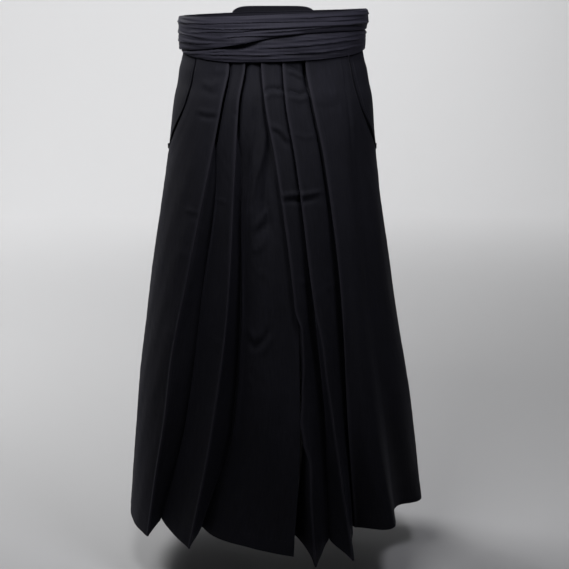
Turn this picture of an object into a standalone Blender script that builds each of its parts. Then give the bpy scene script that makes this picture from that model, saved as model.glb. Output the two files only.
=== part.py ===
"""Hakama: pleated, divided trousers with their own ties, in the hollow form of wear.

Metres, +Z up.  The garment faces -Y and the wearer's left is at +X.  The origin is
the middle of the waist, half way up the wound ties.  Every cloth piece is a wall of
constant thickness drawn through plan sections: a section is a line of knots (fold
edges, valleys and soft turns), and each knot's place at any height comes from a short
table of heights.
"""
import math

import bmesh
import bpy

# ---- driving sizes ----------------------------------------------------------------
CLOTH = 0.0014            # wall of the pleated cloth
SEAM_GAP = 0.0003         # between two pieces that are sewn together
FOLD_RADIUS = 0.0012      # centre line of the cloth at a pressed fold
SEAM_TAIL = 0.010         # seam allowance turned in at the centre seams
HALF_SEAM = (CLOTH + SEAM_GAP) / 2

TOP = 0.030               # upper edge of the panels, inside the ties
CROTCH = -0.500           # where the legs divide
TACK = -0.220             # foot of the side openings
HEM = -0.970              # nominal hem; each knot has its own drop

TIE_CLEAR = 0.0024        # from the panels' form to the first wrap
TIE_WALL = 0.0020
WRAP_GAP = 0.0003
BOARD_WALL = 0.0040

MM = 0.001

# ---- heights at which the tables below give their values ---------------------------
#          sash    slit   hip    crotch shin   hem
HEIGHTS = (-0.046, -0.120, -0.230, CROTCH, -0.750, HEM)
ROWS = (TOP, -0.010, -0.046, -0.082, -0.145, TACK, -0.232, -0.300, -0.400,
        CROTCH, -0.590, -0.680, -0.780, -0.880, HEM)

# The smooth form that the outermost folds touch, in mm.
FORM = {
    #               sash slit hip crotch shin hem
    "half_right":  (175, 194, 208, 250, 281, 300),
    "half_left":   (175, 195, 204, 243, 284, 313),
    "front_depth": (119, 140, 158, 198, 238, 270),
    "back_depth":  (115, 132, 150, 182, 216, 244),
}
ROUNDNESS = (2.0, 2.1, 2.2, 2.3, 2.4, 2.4)      # power of the form's superellipse

FOLD = +1        # pressed edge on the outside: the cloth turns in under it
VALLEY = -1      # hidden inner turn of a pleat
SOFT = 0         # a point the cloth passes through

# Front knots.  at = distance from the centre line, in = depth behind the form, both mm
# at the six heights; drop = height of the hem there, mm below the origin; steps = how
# many facets lead up to the knot.
FRONT_RIGHT = (
    # name          kind    at: sash slit  hip  crotch shin  hem    in: sash slit hip crotch shin hem   drop steps
    ("side",         SOFT,   (-143, -163, -208, -250, -281, -300), (0, 0, 0, 0, 0, 0),               962, 0),
    ("outer",        SOFT,   (-120, -140, -172, -226, -266, -288), (0, 0, 0, 0, 0, 2),               972, 3),
    ("pleat_1",      FOLD,   (-83, -96, -118, -174, -217, -251),   (0, 0, 0, 0, 0, 0),               976, 3),
    ("pleat_1_in",   VALLEY, (-120, -122, -106, -139, -172, -226), (3.4, 6, 20, 45, 58, 62),         953, 2),
    ("pleat_2_bow",  SOFT,   (-80, -92, -98, -122, -150, -200),    (4.4, 6, 12, 24, 28, 30),         960, 2),
    ("pleat_2",      FOLD,   (-52, -64, -71, -86, -119, -163),     (0, 0, 0, 0, 0, 0),               971, 2),
    ("pleat_2_in",   VALLEY, (-72, -76, -60, -63, -80, -142),      (6.2, 8.5, 20, 48, 66, 72),       955, 2),
    ("centre_turn",  SOFT,   (-48, -55, -50, -50, -62, -110),      (4.6, 7, 10, 20, 30, 38),         958, 1),
    ("centre_bow",   SOFT,   (-36, -36, -38, -20, -20, -50),       (3, 3, 2, 4, 6, 14),              962, 2),
    ("centre_under", SOFT,   (-22, -14, 2, 25, 25, 5),             (5, 6, 8, 8, 5, 2),               970, 2),
    ("centre_seam",  SOFT,   (14, 24, 38, 50, 52, 40),             (10, 11, 13, 11, 2, 0),           976, 2),
)
FRONT_LEFT = (
    ("pleat_3",      FOLD,   (-20, -13, 7, 43, 62, 83),            (0, 0, 0, 0, 0, 0),               999, 2),
    ("pleat_3_bow",  SOFT,   (18, 22, 34, 60, 78, 95),             (5, 6, 8, 10, 12, 28),            985, 2),
    ("pleat_4_in",   VALLEY, (50, 54, 66, 79, 102, 110),           (6.4, 8.5, 16, 32, 50, 58),       968, 2),
    ("pleat_4",      FOLD,   (20, 26, 45, 80, 121, 156),           (0, 0, 0, 0, 0, 0),               994, 2),
    ("pleat_4_bow",  SOFT,   (61, 70, 86, 106, 134, 157),          (4.6, 6, 8, 12, 24, 50),          975, 2),
    ("pleat_5_in",   VALLEY, (98, 102, 108, 132, 150, 159),        (3.4, 6, 14, 32, 56, 80),         958, 2),
    ("pleat_5",      FOLD,   (63, 76, 99, 133, 147, 164),          (0, 0, 0, 2, 24, 66),             955, 2),
    ("side_ridge",   SOFT,   (120, 134, 143, 171, 199, 238),       (0, 0, 0, 2, 2, 0),               946, 3),
    ("side_dip",     SOFT,   (128, 142, 156, 190, 222, 249),       (0.4, 1, 4, 12, 36, 100),         953, 1),
    ("side_swell",   SOFT,   (136, 152, 178, 214, 254, 284),       (0.2, 0, 2, 10, 30, 95),          960, 1),
    ("side",         SOFT,   (143, 163, 204, 243, 284, 313),       (0, 0, 0, 0, 0, 0),               962, 2),
)
# Back knots.  at = angle round the form in degrees, 0 at centre front and positive on
# the wearer's left; in = depth inside the form, mm.
BACK_LEFT = (
    ("side",         SOFT,   (58, 61, 90, 90, 90, 90),             (3, 4, 0, 0, 0, 0),               962, 0),
    ("side_back",    SOFT,   (96, 98, 104, 106, 107, 107),         (0, 0, 2, 6, 9, 12),              957, 4),
    ("hip_ridge",    SOFT,   (126, 126, 127, 128, 129, 131),       (0, 0, 0, 0, 0, 0),               964, 3),
    ("hip_dip",      SOFT,   (142, 142, 142, 142, 142, 142),       (0, 1, 4, 12, 22, 30),            955, 2),
    ("pleat_6",      FOLD,   (166, 165, 164, 162, 160, 158),       (0, 0, 0, 0, 0, 0),               970, 2),
    ("pleat_6_in",   VALLEY, (151, 154, 160, 166, 166, 163),       (3.4, 6, 20, 42, 56, 64),         955, 2),
    ("back_bow",     SOFT,   (168, 168, 168, 170, 170, 169),       (4.6, 6, 10, 18, 24, 28),         958, 2),
)
BACK_RIGHT = (
    ("back_bow",     SOFT,   (-167, -167, -167, -169, -171, -170), (4.6, 6, 10, 19, 26, 30),         958, 2),
    ("pleat_7_in",   VALLEY, (-150, -153, -159, -165, -166, -164), (3.4, 6, 20, 44, 58, 66),         955, 2),
    ("pleat_7",      FOLD,   (-165, -164, -163, -161, -159, -156), (0, 0, 0, 0, 0, 0),               972, 2),
    ("hip_dip",      SOFT,   (-141, -141, -141, -140, -140, -139), (0, 1, 4, 12, 24, 32),            956, 2),
    ("hip_ridge",    SOFT,   (-125, -125, -126, -126, -127, -128), (0, 0, 0, 0, 0, 0),               966, 2),
    ("side_back",    SOFT,   (-96, -98, -104, -106, -107, -107),   (0, 0, 2, 6, 9, 12),              958, 3),
    ("side",         SOFT,   (-58, -61, -90, -90, -90, -90),       (3, 4, 0, 0, 0, 0),               962, 4),
)
# The centre back seam, and how far each leg's inner edge stands off the shared centre
# seams below the crotch (aside = towards the wearer's left, in = further inside), mm.
BACK_SEAM_AT = (-2, -2, -2, 0, -12, -22)
BACK_SEAM_IN = (7, 8, 10, 10, 10, 12)
FRONT_SPREAD = {"aside": (0, 0, 0, 0, 6, 0), "in": (-2.6, -2.6, -2.6, -2.6, 30, 80)}
BACK_SPREAD = {"aside": (0, 0, 0, 0, 32, 56), "in": (0, 0, 0, 0, 0, 0)}
INNER_BOW = {"right": (0, 0, 0, 0, -14, -22), "left": (0, 0, 0, 0, 8, 14)}
SEAM_DROP = {"front_right": 976, "front_left": 964, "back": 960}

# Edges of the wound ties: angle round the waist, then heights in mm.
WRAPS = (
    # angle  bottom  step  top      bottom = lower edge of the front ties' wrap,
    (-180,   -38,    -6,   43),   # step = lower edge of the back ties' wrap over it
    (-135,   -34,    -20,  39),
    (-90,    -29,    -27,  36),
    (-50,    -41,    -24,  36),
    (-25,    -46,    -16,  37),
    (0,      -45,    -1,   40),
    (25,     -42,    8,    43),
    (60,     -34,    11,   47),
    (90,     -25,    12,   50),
    (135,    -32,    4,    47),
    (180,    -38,    -6,   43),
)
BOARD = {"bottom": -0.046, "top": 0.054, "half_bottom": 0.118, "half_top": 0.082, "corner": 0.010}

COLOURS = {
    # sRGB-like linear colours and roughness of each cloth
    "pleated": (0.0085, 0.0080, 0.0115, 0.82),
    "tie": (0.0150, 0.0150, 0.0225, 0.76),
    "board": (0.0110, 0.0105, 0.0155, 0.80),
    "thread": (0.0060, 0.0060, 0.0085, 0.70),
}


# ---- tables to curves ---------------------------------------------------------------
def slope(left, right):
    """Slope of a monotone curve between two neighbouring chords."""
    if left * right <= 0:
        return 0.0
    return 2 * left * right / (left + right)


def along(heights, values, z):
    """Value at height z on a monotone cubic through a table; flat above its top."""
    if z >= heights[0]:
        return values[0]
    if z <= heights[-1]:
        return values[-1]
    i = next(k for k in range(len(heights) - 1) if z >= heights[k + 1])
    chords = [(values[k + 1] - values[k]) / (heights[k + 1] - heights[k])
              for k in range(len(heights) - 1)]
    start = 0.0 if i == 0 else slope(chords[i - 1], chords[i])
    end = chords[-1] if i == len(chords) - 1 else slope(chords[i], chords[i + 1])
    step = heights[i + 1] - heights[i]
    t = (z - heights[i]) / step
    return ((2 * t**3 - 3 * t**2 + 1) * values[i] + (t**3 - 2 * t**2 + t) * step * start
            + (3 * t**2 - 2 * t**3) * values[i + 1] + (t**3 - t**2) * step * end)


def level(values, z):
    """A table row in mm, read at height z, in metres."""
    return along(HEIGHTS, values, z) * MM


def form_point(angle, inset, z):
    """Plan point at an angle round the form, set in along Y by inset."""
    sine = math.sin(angle)
    half = level(FORM["half_left"] if sine > 0 else FORM["half_right"], z)
    facing_back = math.cos(angle) < 0
    depth = level(FORM["back_depth"] if facing_back else FORM["front_depth"], z)
    power = along(HEIGHTS, ROUNDNESS, z)
    reach = max(0.0, 1 - abs(sine) ** power) ** (1 / power)
    outward = 1 if facing_back else -1
    return (half * sine, outward * (depth * reach - inset))


def front_angle(offset, z):
    """Angle on the front of the form that stands at an offset from the centre line."""
    half = level(FORM["half_left"] if offset > 0 else FORM["half_right"], z)
    return math.asin(max(-1.0, min(1.0, offset / half)))


def back_angle(offset, z):
    """Angle on the back of the form that stands at an offset from the centre line."""
    return math.pi - front_angle(offset, z)


# ---- sections -----------------------------------------------------------------------
class Knot:
    """One knot of a section at one height: angle, inset, kind, hem drop and steps."""

    def __init__(self, angle, inset, kind, drop, steps, z):
        self.angle, self.inset, self.kind = angle, inset, kind
        self.drop, self.steps = drop, steps
        self.plan = form_point(angle, inset, z)


def table_knots(table, z, on_front):
    """Knots of a table at height z."""
    knots = []
    for _name, kind, at, inset, drop, steps in table:
        if on_front:
            angle = front_angle(level(at, z), z)
        else:
            angle = math.radians(along(HEIGHTS, at, z))
        knots.append(Knot(angle, level(inset, z), kind, drop, steps, z))
    return knots


def unit(x, y):
    """The direction of a plan vector."""
    size = math.hypot(x, y) or 1.0
    return (x / size, y / size)


def fold_points(before, knot, after):
    """Three points of a pressed fold: into the turn, round it and out of it."""
    into = unit(knot.plan[0] - before[0], knot.plan[1] - before[1])
    out = unit(after[0] - knot.plan[0], after[1] - knot.plan[1])
    tip = unit(into[0] - out[0], into[1] - out[1])
    across = (-tip[1] * knot.kind, tip[0] * knot.kind)
    x, y = knot.plan
    r = FOLD_RADIUS
    return [(x - across[0] * r, y - across[1] * r), (x + tip[0] * r, y + tip[1] * r),
            (x + across[0] * r, y + across[1] * r)]


def lead_points(start, end, z):
    """Points between two knots, on a line drawn in angle and inset."""
    points = []
    for k in range(1, end.steps):
        t = k / end.steps
        angle = start.angle + (end.angle - start.angle) * t
        inset = start.inset + (end.inset - start.inset) * t
        points.append(form_point(angle, inset, z) + (start.drop + (end.drop - start.drop) * t,))
    return points


def section(knots, z):
    """Plan points (x, y, hem drop) of a line of knots at height z."""
    points = []
    for i, knot in enumerate(knots):
        if i:
            points += lead_points(knots[i - 1], knot, z)
        if knot.kind == SOFT:
            points.append(knot.plan + (knot.drop,))
            continue
        turn = fold_points(knots[i - 1].plan, knot, knots[i + 1].plan)
        points += [p + (knot.drop,) for p in turn]
    return points


def centre_seams(z):
    """Plan points where the legs' inner edges meet the front and back, by leg."""
    name, _kind, at, inset, _drop, steps = FRONT_RIGHT[-1]
    seam_x, seam_in = level(at, z), level(inset, z)
    left_x = seam_x + level(FRONT_SPREAD["aside"], z)
    left_in = seam_in + level(FRONT_SPREAD["in"], z)
    back_x, back_in = level(BACK_SEAM_AT, z), level(BACK_SEAM_IN, z)
    back_left_x = back_x + level(BACK_SPREAD["aside"], z)
    right = Knot(front_angle(seam_x, z), seam_in, SOFT, SEAM_DROP["front_right"], steps, z)
    left = Knot(front_angle(left_x, z), left_in, SOFT, SEAM_DROP["front_left"], 1, z)
    back_right = Knot(back_angle(back_x, z), back_in, SOFT, SEAM_DROP["back"], 1, z)
    back_left = Knot(back_angle(back_left_x, z), back_in, SOFT, SEAM_DROP["back"], 2, z)
    return {"front_right": right, "front_left": left, "back_right": back_right, "back_left": back_left}


def tails(z):
    """Ends of the seam allowances: (x, y) for each of the four panels' centre edges."""
    seams = centre_seams(z)
    left_tail = SEAM_TAIL - FRONT_SPREAD["in"][0] * MM
    place = {
        "front_right": (-HALF_SEAM, SEAM_TAIL), "front_left": (HALF_SEAM, left_tail),
        "back_right": (-HALF_SEAM, -SEAM_TAIL), "back_left": (HALF_SEAM, -SEAM_TAIL),
    }
    return {key: (seams[key].plan[0] + dx, seams[key].plan[1] + dy) for key, (dx, dy) in place.items()}


def front_right(z):
    """Section of the wearer's right front, from the side seam to the centre."""
    corner = centre_seams(z)["front_right"]
    corner.plan = (corner.plan[0] - HALF_SEAM, corner.plan[1])
    points = section(table_knots(FRONT_RIGHT[:-1], z, True) + [corner], z)
    first = points[0]
    points[0] = (first[0], first[1] - SEAM_GAP / 2, first[2])
    return points + [tails(z)["front_right"] + (SEAM_DROP["front_right"],)]


def front_left(z):
    """Section of the wearer's left front, from the centre to the side seam."""
    corner = centre_seams(z)["front_left"]
    corner.plan = (corner.plan[0] + HALF_SEAM, corner.plan[1])
    points = section([corner] + table_knots(FRONT_LEFT, z, True), z)
    last = points[-1]
    points[-1] = (last[0], last[1] - SEAM_GAP / 2, last[2])
    return [tails(z)["front_left"] + (SEAM_DROP["front_left"],)] + points


def back_left(z):
    """Section of the wearer's left back, from the side seam to the centre."""
    corner = centre_seams(z)["back_left"]
    corner.plan = (corner.plan[0] + HALF_SEAM, corner.plan[1])
    points = section(table_knots(BACK_LEFT, z, False) + [corner], z)
    first = points[0]
    points[0] = (first[0], first[1] + SEAM_GAP / 2, first[2])
    return points + [tails(z)["back_left"] + (SEAM_DROP["back"],)]


def back_right(z):
    """Section of the wearer's right back, from the centre to the side seam."""
    corner = centre_seams(z)["back_right"]
    corner.plan = (corner.plan[0] - HALF_SEAM, corner.plan[1])
    corner.angle -= 2 * math.pi
    points = section([corner] + table_knots(BACK_RIGHT, z, False), z)
    last = points[-1]
    points[-1] = (last[0], last[1] + SEAM_GAP / 2, last[2])
    return [tails(z)["back_right"] + (SEAM_DROP["back"],)] + points


def inner_leg(z, leg, steps=12):
    """Section of a leg's inner panel, from its front edge to its back edge."""
    ends = tails(z)
    start, end = ends["front_" + leg], ends["back_" + leg]
    start = (start[0], start[1] + SEAM_GAP)
    end = (end[0], end[1] - SEAM_GAP)
    bow = level(INNER_BOW[leg], z)
    first_drop, last_drop = SEAM_DROP["front_" + leg], SEAM_DROP["back"]
    points = []
    for k in range(steps + 1):
        t = k / steps
        x = start[0] + (end[0] - start[0]) * t + bow * math.sin(math.pi * t) ** 2
        y = start[1] + (end[1] - start[1]) * t
        points.append((x, y, first_drop + (last_drop - first_drop) * t))
    return points


# ---- walls --------------------------------------------------------------------------
def hang(z, drop):
    """Height of a point of a nominal row: below the crotch each column runs to its hem."""
    if z >= CROTCH:
        return z
    return CROTCH + (-drop * MM - CROTCH) * (z - CROTCH) / (HEM - CROTCH)


def offsets(points, closed=False, square_ends=(False, False)):
    """Outward wall directions in plan, mitred so that the wall keeps its thickness."""
    count = len(points)
    headings = [unit(points[(i + 1) % count][0] - points[i][0], points[(i + 1) % count][1] - points[i][1])
                for i in range(count)]
    result = []
    for i in range(count):
        before = headings[i - 1] if i or closed else headings[0]
        after = headings[i] if i < count - 1 or closed else headings[i - 1]
        nx, ny = unit(before[1] + after[1], -before[0] - after[0])
        cosine = max(0.62, nx * after[1] - ny * after[0])
        result.append((nx / cosine, ny / cosine))
    for index, square in ((0, square_ends[0]), (count - 1, square_ends[1])):
        if square:
            result[index] = (math.copysign(1.0, result[index][0]), 0.0)
    return result


def wall_mesh(name, rows, wall, closed=False):
    """A closed wall of even thickness through rows of (x, y, z, outward) points."""
    mesh = bmesh.new()
    skins = []
    for side in (0.5, -0.5):
        skins.append([[mesh.verts.new((x + n[0] * wall * side, y + n[1] * wall * side, z))
                       for x, y, z, n in row] for row in rows])
    outer, inner = skins
    count = len(rows[0])
    for r in range(len(rows) - 1):
        for c in range(count if closed else count - 1):
            d = (c + 1) % count
            mesh.faces.new((outer[r][c], outer[r + 1][c], outer[r + 1][d], outer[r][d]))
            mesh.faces.new((inner[r][c], inner[r][d], inner[r + 1][d], inner[r + 1][c]))
    for c in range(count if closed else count - 1):
        d = (c + 1) % count
        mesh.faces.new((outer[0][c], outer[0][d], inner[0][d], inner[0][c]))
        mesh.faces.new((outer[-1][c], inner[-1][c], inner[-1][d], outer[-1][d]))
    if not closed:
        for r in range(len(rows) - 1):
            mesh.faces.new((outer[r][0], inner[r][0], inner[r + 1][0], outer[r + 1][0]))
            mesh.faces.new((outer[r][-1], outer[r + 1][-1], inner[r + 1][-1], inner[r][-1]))
    bmesh.ops.recalc_face_normals(mesh, faces=mesh.faces)
    data = bpy.data.meshes.new(name)
    mesh.to_mesh(data)
    mesh.free()
    return data


def place(name, data, finish):
    """Link a mesh as a named object with its own cloth material."""
    red, green, blue, roughness = COLOURS[finish]
    material = bpy.data.materials.new(name + "_cloth")
    material.use_nodes = True
    shader = material.node_tree.nodes["Principled BSDF"]
    shader.inputs["Base Color"].default_value = (red, green, blue, 1.0)
    shader.inputs["Roughness"].default_value = roughness
    shader.inputs["Metallic"].default_value = 0.0
    data.materials.append(material)
    data.shade_smooth()
    data.set_sharp_from_angle(angle=math.radians(40))
    item = bpy.data.objects.new(name, data)
    bpy.context.scene.collection.objects.link(item)
    return item


def panel(name, draw, heights, seams_squared):
    """A pleated panel: its section drawn at each height."""
    rows = []
    for z in heights:
        points = draw(z)
        sewn = z <= TACK
        square = tuple(mode == "always" or (mode == "below_tack" and sewn) for mode in seams_squared)
        rows.append([(x, y, hang(z, drop), n)
                     for (x, y, drop), n in zip(points, offsets(points, square_ends=square))])
    return place(name, wall_mesh(name, rows, CLOTH), "pleated")


def panels():
    """The four pleated panels and the two inner leg panels."""
    panel("front_right", front_right, ROWS, ("below_tack", "always"))
    panel("front_left", front_left, ROWS, ("always", "below_tack"))
    panel("back_left", back_left, ROWS, ("below_tack", "always"))
    panel("back_right", back_right, ROWS, ("always", "below_tack"))
    leg_rows = [z for z in ROWS if z <= CROTCH]
    panel("inner_leg_right", lambda z: inner_leg(z, "right"), leg_rows, ("always", "always"))
    panel("inner_leg_left", lambda z: list(reversed(inner_leg(z, "left"))), leg_rows, ("always", "always"))


# ---- ties, board and tacks ----------------------------------------------------------
def wrap_height(column, angle):
    """Height of an edge of the wraps at an angle round the waist, in metres."""
    degrees = -math.degrees(angle)
    angles = [-row[0] for row in WRAPS]
    return along(angles, [row[column] for row in WRAPS], degrees) * MM


def waist_ring(out, count=56):
    """Plan ring round the waist, standing out from the panels' form."""
    ring = []
    for k in range(count):
        angle = -math.pi + 2 * math.pi * (k + 0.5) / count
        half = FORM["half_left"][0] * MM + out
        depth = (FORM["back_depth"][0] if math.cos(angle) < 0 else FORM["front_depth"][0]) * MM + out
        ring.append((half * math.sin(angle), -depth * math.cos(angle), angle))
    return ring


def wrap(name, out, low_column, high_column, belly, levels=4):
    """One wound tie: a band whose edges follow the wrap table, slightly swollen."""
    rows = []
    for k in range(levels + 1):
        t = k / levels
        ring = waist_ring(out + belly * math.sin(math.pi * t))
        normals = offsets(ring, closed=True)
        row = []
        for (x, y, angle), n in zip(ring, normals):
            low = wrap_height(low_column, angle)
            high = wrap_height(high_column, angle) if high_column else TOP
            row.append((x, y, high + (low - high) * t, n))
        rows.append(row)
    return place(name, wall_mesh(name, rows, TIE_WALL, closed=True), "tie")


def ties():
    """The front ties' wrap next to the cloth and the back ties' wrap over it."""
    first = TIE_CLEAR + TIE_WALL / 2
    second = first + TIE_WALL + WRAP_GAP
    wrap("front_ties", first, 1, 0, 0.0)
    wrap("back_ties", second, 2, 3, 0.0008)


def back_board():
    """The stiff trapezoid board at the small of the back, bent round the waist."""
    out = TIE_CLEAR + 2 * (TIE_WALL + WRAP_GAP) + 0.0008 + BOARD_WALL / 2
    half = FORM["half_left"][0] * MM + out
    depth = FORM["back_depth"][0] * MM + out
    rows, levels, columns = [], 6, 18
    for k in range(levels + 1):
        t = k / levels
        z = BOARD["top"] + (BOARD["bottom"] - BOARD["top"]) * t
        reach = BOARD["half_top"] + (BOARD["half_bottom"] - BOARD["half_top"]) * t
        line = []
        for c in range(columns + 1):
            share = 1 - 2 * c / columns
            angle = math.pi - math.asin(share * reach / half)
            corner = BOARD["corner"] * (1 - t) ** 2 * abs(share) ** 8
            line.append((half * math.sin(angle), -depth * math.cos(angle), z - corner))
        normals = offsets(line)
        rows.append([(x, y, z_low, n) for (x, y, z_low), n in zip(line, normals)])
    place("back_board", wall_mesh("back_board", rows, BOARD_WALL), "board")


def side_tack(name, leg):
    """The sewn bar at the foot of a side opening, standing on the side seam."""
    side = 1 if leg == "left" else -1
    half = level(FORM["half_" + leg], TACK)
    width, length, height = 0.004, 0.009, 0.012
    mesh = bmesh.new()
    bmesh.ops.create_cube(mesh, size=1.0)
    lean = half - level(FORM["half_" + leg], TACK + height / 2)
    for vert in mesh.verts:
        x = side * (half + CLOTH / 2 + SEAM_GAP + lean + width / 2) + vert.co.x * width
        vert.co = (x, vert.co.y * length, TACK + height * (vert.co.z + 0.25))
    edges = [e for e in mesh.edges if e.is_manifold]
    bmesh.ops.bevel(mesh, geom=edges, offset=0.0014, segments=2, profile=0.6, affect="EDGES")
    data = bpy.data.meshes.new(name)
    mesh.to_mesh(data)
    mesh.free()
    place(name, data, "thread")


def main():
    """Clear the scene and build the garment."""
    for item in list(bpy.data.objects):
        bpy.data.objects.remove(item, do_unlink=True)
    panels()
    ties()
    back_board()
    side_tack("side_tack_right", "right")
    side_tack("side_tack_left", "left")


main()
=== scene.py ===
"""Looks of a pair of hakama: pleated panels, wound ties, back board, tacks and stitching.

Lengths are metres unless a name says otherwise.  +Z is up, the garment faces -Y and the
wearer's left is +X.  Every cloth piece is a thin shell drawn on the same knots as its
construction solid, at a finer step, with its listed creases laid on.
"""
import logging
import math
from dataclasses import dataclass, field, replace
from enum import Enum, IntEnum
from typing import Optional, Sequence

import bmesh
import bpy
import numpy as np
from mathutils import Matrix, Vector


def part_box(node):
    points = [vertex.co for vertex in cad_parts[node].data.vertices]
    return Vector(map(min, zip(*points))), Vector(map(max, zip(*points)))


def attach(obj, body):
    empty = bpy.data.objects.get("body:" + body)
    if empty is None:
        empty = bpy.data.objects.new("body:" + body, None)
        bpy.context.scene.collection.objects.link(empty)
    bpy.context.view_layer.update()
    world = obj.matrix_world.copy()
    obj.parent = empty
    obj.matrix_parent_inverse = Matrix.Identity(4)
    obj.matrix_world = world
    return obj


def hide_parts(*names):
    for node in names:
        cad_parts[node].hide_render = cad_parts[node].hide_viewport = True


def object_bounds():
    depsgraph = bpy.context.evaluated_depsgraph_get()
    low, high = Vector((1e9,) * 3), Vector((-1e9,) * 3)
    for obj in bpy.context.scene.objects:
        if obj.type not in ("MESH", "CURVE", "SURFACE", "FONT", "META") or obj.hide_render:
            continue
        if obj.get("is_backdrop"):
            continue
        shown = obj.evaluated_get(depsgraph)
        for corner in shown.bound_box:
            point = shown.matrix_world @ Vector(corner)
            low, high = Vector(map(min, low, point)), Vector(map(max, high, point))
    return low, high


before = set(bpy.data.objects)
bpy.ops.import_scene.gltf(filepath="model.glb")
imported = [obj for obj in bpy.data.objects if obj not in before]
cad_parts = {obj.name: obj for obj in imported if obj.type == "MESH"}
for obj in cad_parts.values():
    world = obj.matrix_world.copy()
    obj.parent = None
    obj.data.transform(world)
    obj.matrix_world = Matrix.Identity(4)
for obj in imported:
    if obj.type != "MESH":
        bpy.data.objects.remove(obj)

LOG = logging.getLogger("hakama")
MM = 0.001
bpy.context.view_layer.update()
ROOT = "root"
SIDE_GAP = 0.0002


class Turn(IntEnum):
    """How the cloth passes a knot of its section."""

    FOLD = 1
    VALLEY = -1
    SOFT = 0


class Slot(Enum):
    """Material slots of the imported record."""

    PLEATED = "pleated_cloth"
    INNER = "inner_leg_cloth"
    TIE = "tie_cloth"
    BOARD = "board_cloth"
    TACK = "tack_thread"


# ---- heights and form -------------------------------------------------------------------
CROTCH = -0.500
TACK = -0.220
HEM = -0.970
SASH = -0.046
HEIGHTS = (SASH, -0.120, -0.230, CROTCH, -0.750, HEM)


def read_table(heights: Sequence[float], values: Sequence[float], z: np.ndarray) -> np.ndarray:
    """Read a short table on a monotone cubic.

    Args:
        heights: falling heights of the table's columns.
        values: the value at each height.
        z: heights to read at.

    Returns:
        The values at z, held flat beyond both ends.
    """
    h = np.asarray(heights, float)
    v = np.asarray(values, float)
    chord = np.diff(v) / np.diff(h)
    tangent = np.zeros(len(v))
    for i in range(1, len(v) - 1):
        product = chord[i - 1] * chord[i]
        tangent[i] = 2 * product / (chord[i - 1] + chord[i]) if product > 0 else 0.0
    tangent[-1] = chord[-1]
    z = np.clip(np.asarray(z, float), h[-1], h[0])
    i = np.clip(np.searchsorted(-h, -z, side="right") - 1, 0, len(h) - 2)
    step = h[i + 1] - h[i]
    t = (z - h[i]) / step
    return ((2 * t**3 - 3 * t**2 + 1) * v[i] + (t**3 - 2 * t**2 + t) * step * tangent[i]
            + (3 * t**2 - 2 * t**3) * v[i + 1] + (t**3 - t**2) * step * tangent[i + 1])


def level(values: Sequence[float], z: np.ndarray) -> np.ndarray:
    """Read a row of millimetres at heights z, in metres."""
    return read_table(HEIGHTS, values, z) * MM


def smooth(edge0: float, edge1: float, value: np.ndarray) -> np.ndarray:
    """Rise from 0 to 1 between two edges."""
    t = np.clip((value - edge0) / (edge1 - edge0), 0.0, 1.0)
    return t * t * (3 - 2 * t)


@dataclass(frozen=True)
class Form:
    """The smooth hollow form that the outermost folds touch, in mm at HEIGHTS."""

    half_right: tuple[float, ...] = (175, 194, 208, 250, 281, 300)
    half_left: tuple[float, ...] = (175, 195, 204, 243, 284, 313)
    front_depth: tuple[float, ...] = (119, 140, 158, 198, 238, 270)
    back_depth: tuple[float, ...] = (115, 132, 150, 182, 216, 244)
    roundness: tuple[float, ...] = (2.0, 2.1, 2.2, 2.3, 2.4, 2.4)

    def plan(self, angle: np.ndarray, inset: np.ndarray,
             z: np.ndarray) -> tuple[np.ndarray, np.ndarray]:
        """Plan position of points round the form.

        Args:
            angle: angle round the waist, 0 at centre front, positive on the wearer's left.
            inset: how far inside the form, along Y.
            z: height that the form is read at.

        Returns:
            The x and y arrays.
        """
        sine = np.sin(angle)
        back = np.cos(angle) < 0
        half = np.where(sine > 0, level(self.half_left, z), level(self.half_right, z))
        depth = np.where(back, level(self.back_depth, z), level(self.front_depth, z))
        power = read_table(HEIGHTS, self.roundness, z)
        reach = np.maximum(0.0, 1 - np.abs(sine) ** power) ** (1 / power)
        return half * sine, np.where(back, 1.0, -1.0) * (depth * reach - inset)

    def front_angle(self, offset: np.ndarray, z: np.ndarray) -> np.ndarray:
        """Angle of the front point that stands at an offset from the centre line."""
        half = np.where(offset > 0, level(self.half_left, z), level(self.half_right, z))
        return np.arcsin(np.clip(offset / half, -1.0, 1.0))

    def back_angle(self, offset: np.ndarray, z: np.ndarray) -> np.ndarray:
        """Angle of the back point that stands at an offset from the centre line."""
        return math.pi - self.front_angle(offset, z)


FORM = Form()


# ---- knots and creases --------------------------------------------------------------------
@dataclass(frozen=True)
class Knot:
    """A fold edge, valley or soft turn of a panel.

    at is mm from the centre line on a front, or degrees round the form on a back; inset
    is mm inside the form; drop is mm from the origin down to the hem; sway shifts the
    knot sideways, as (height, mm) pairs; fall bends the hem on its way to the knot.
    """

    name: str
    turn: Turn
    at: tuple[float, ...]
    inset: tuple[float, ...]
    drop: float
    sway: tuple[tuple[float, float], ...] = ()
    fall: float = 1.0

    def offset(self, z: np.ndarray) -> np.ndarray:
        """Sideways place on a front, in metres."""
        place = level(self.at, z)
        for (high, start), (low, end) in zip(self.sway[:-1], self.sway[1:]):
            inside = (z <= high) & (z > low)
            share = smooth(0.0, 1.0, (high - z) / (high - low))
            place = place + inside * (start + (end - start) * share) * MM
        return place

    def plan_x(self, z: np.ndarray, on_front: bool) -> np.ndarray:
        """Plan x of the knot at heights z, in metres."""
        if on_front:
            return self.offset(z)
        sine = np.sin(np.radians(read_table(HEIGHTS, self.at, z)))
        return np.where(sine > 0, level(FORM.half_left, z), level(FORM.half_right, z)) * sine


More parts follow.
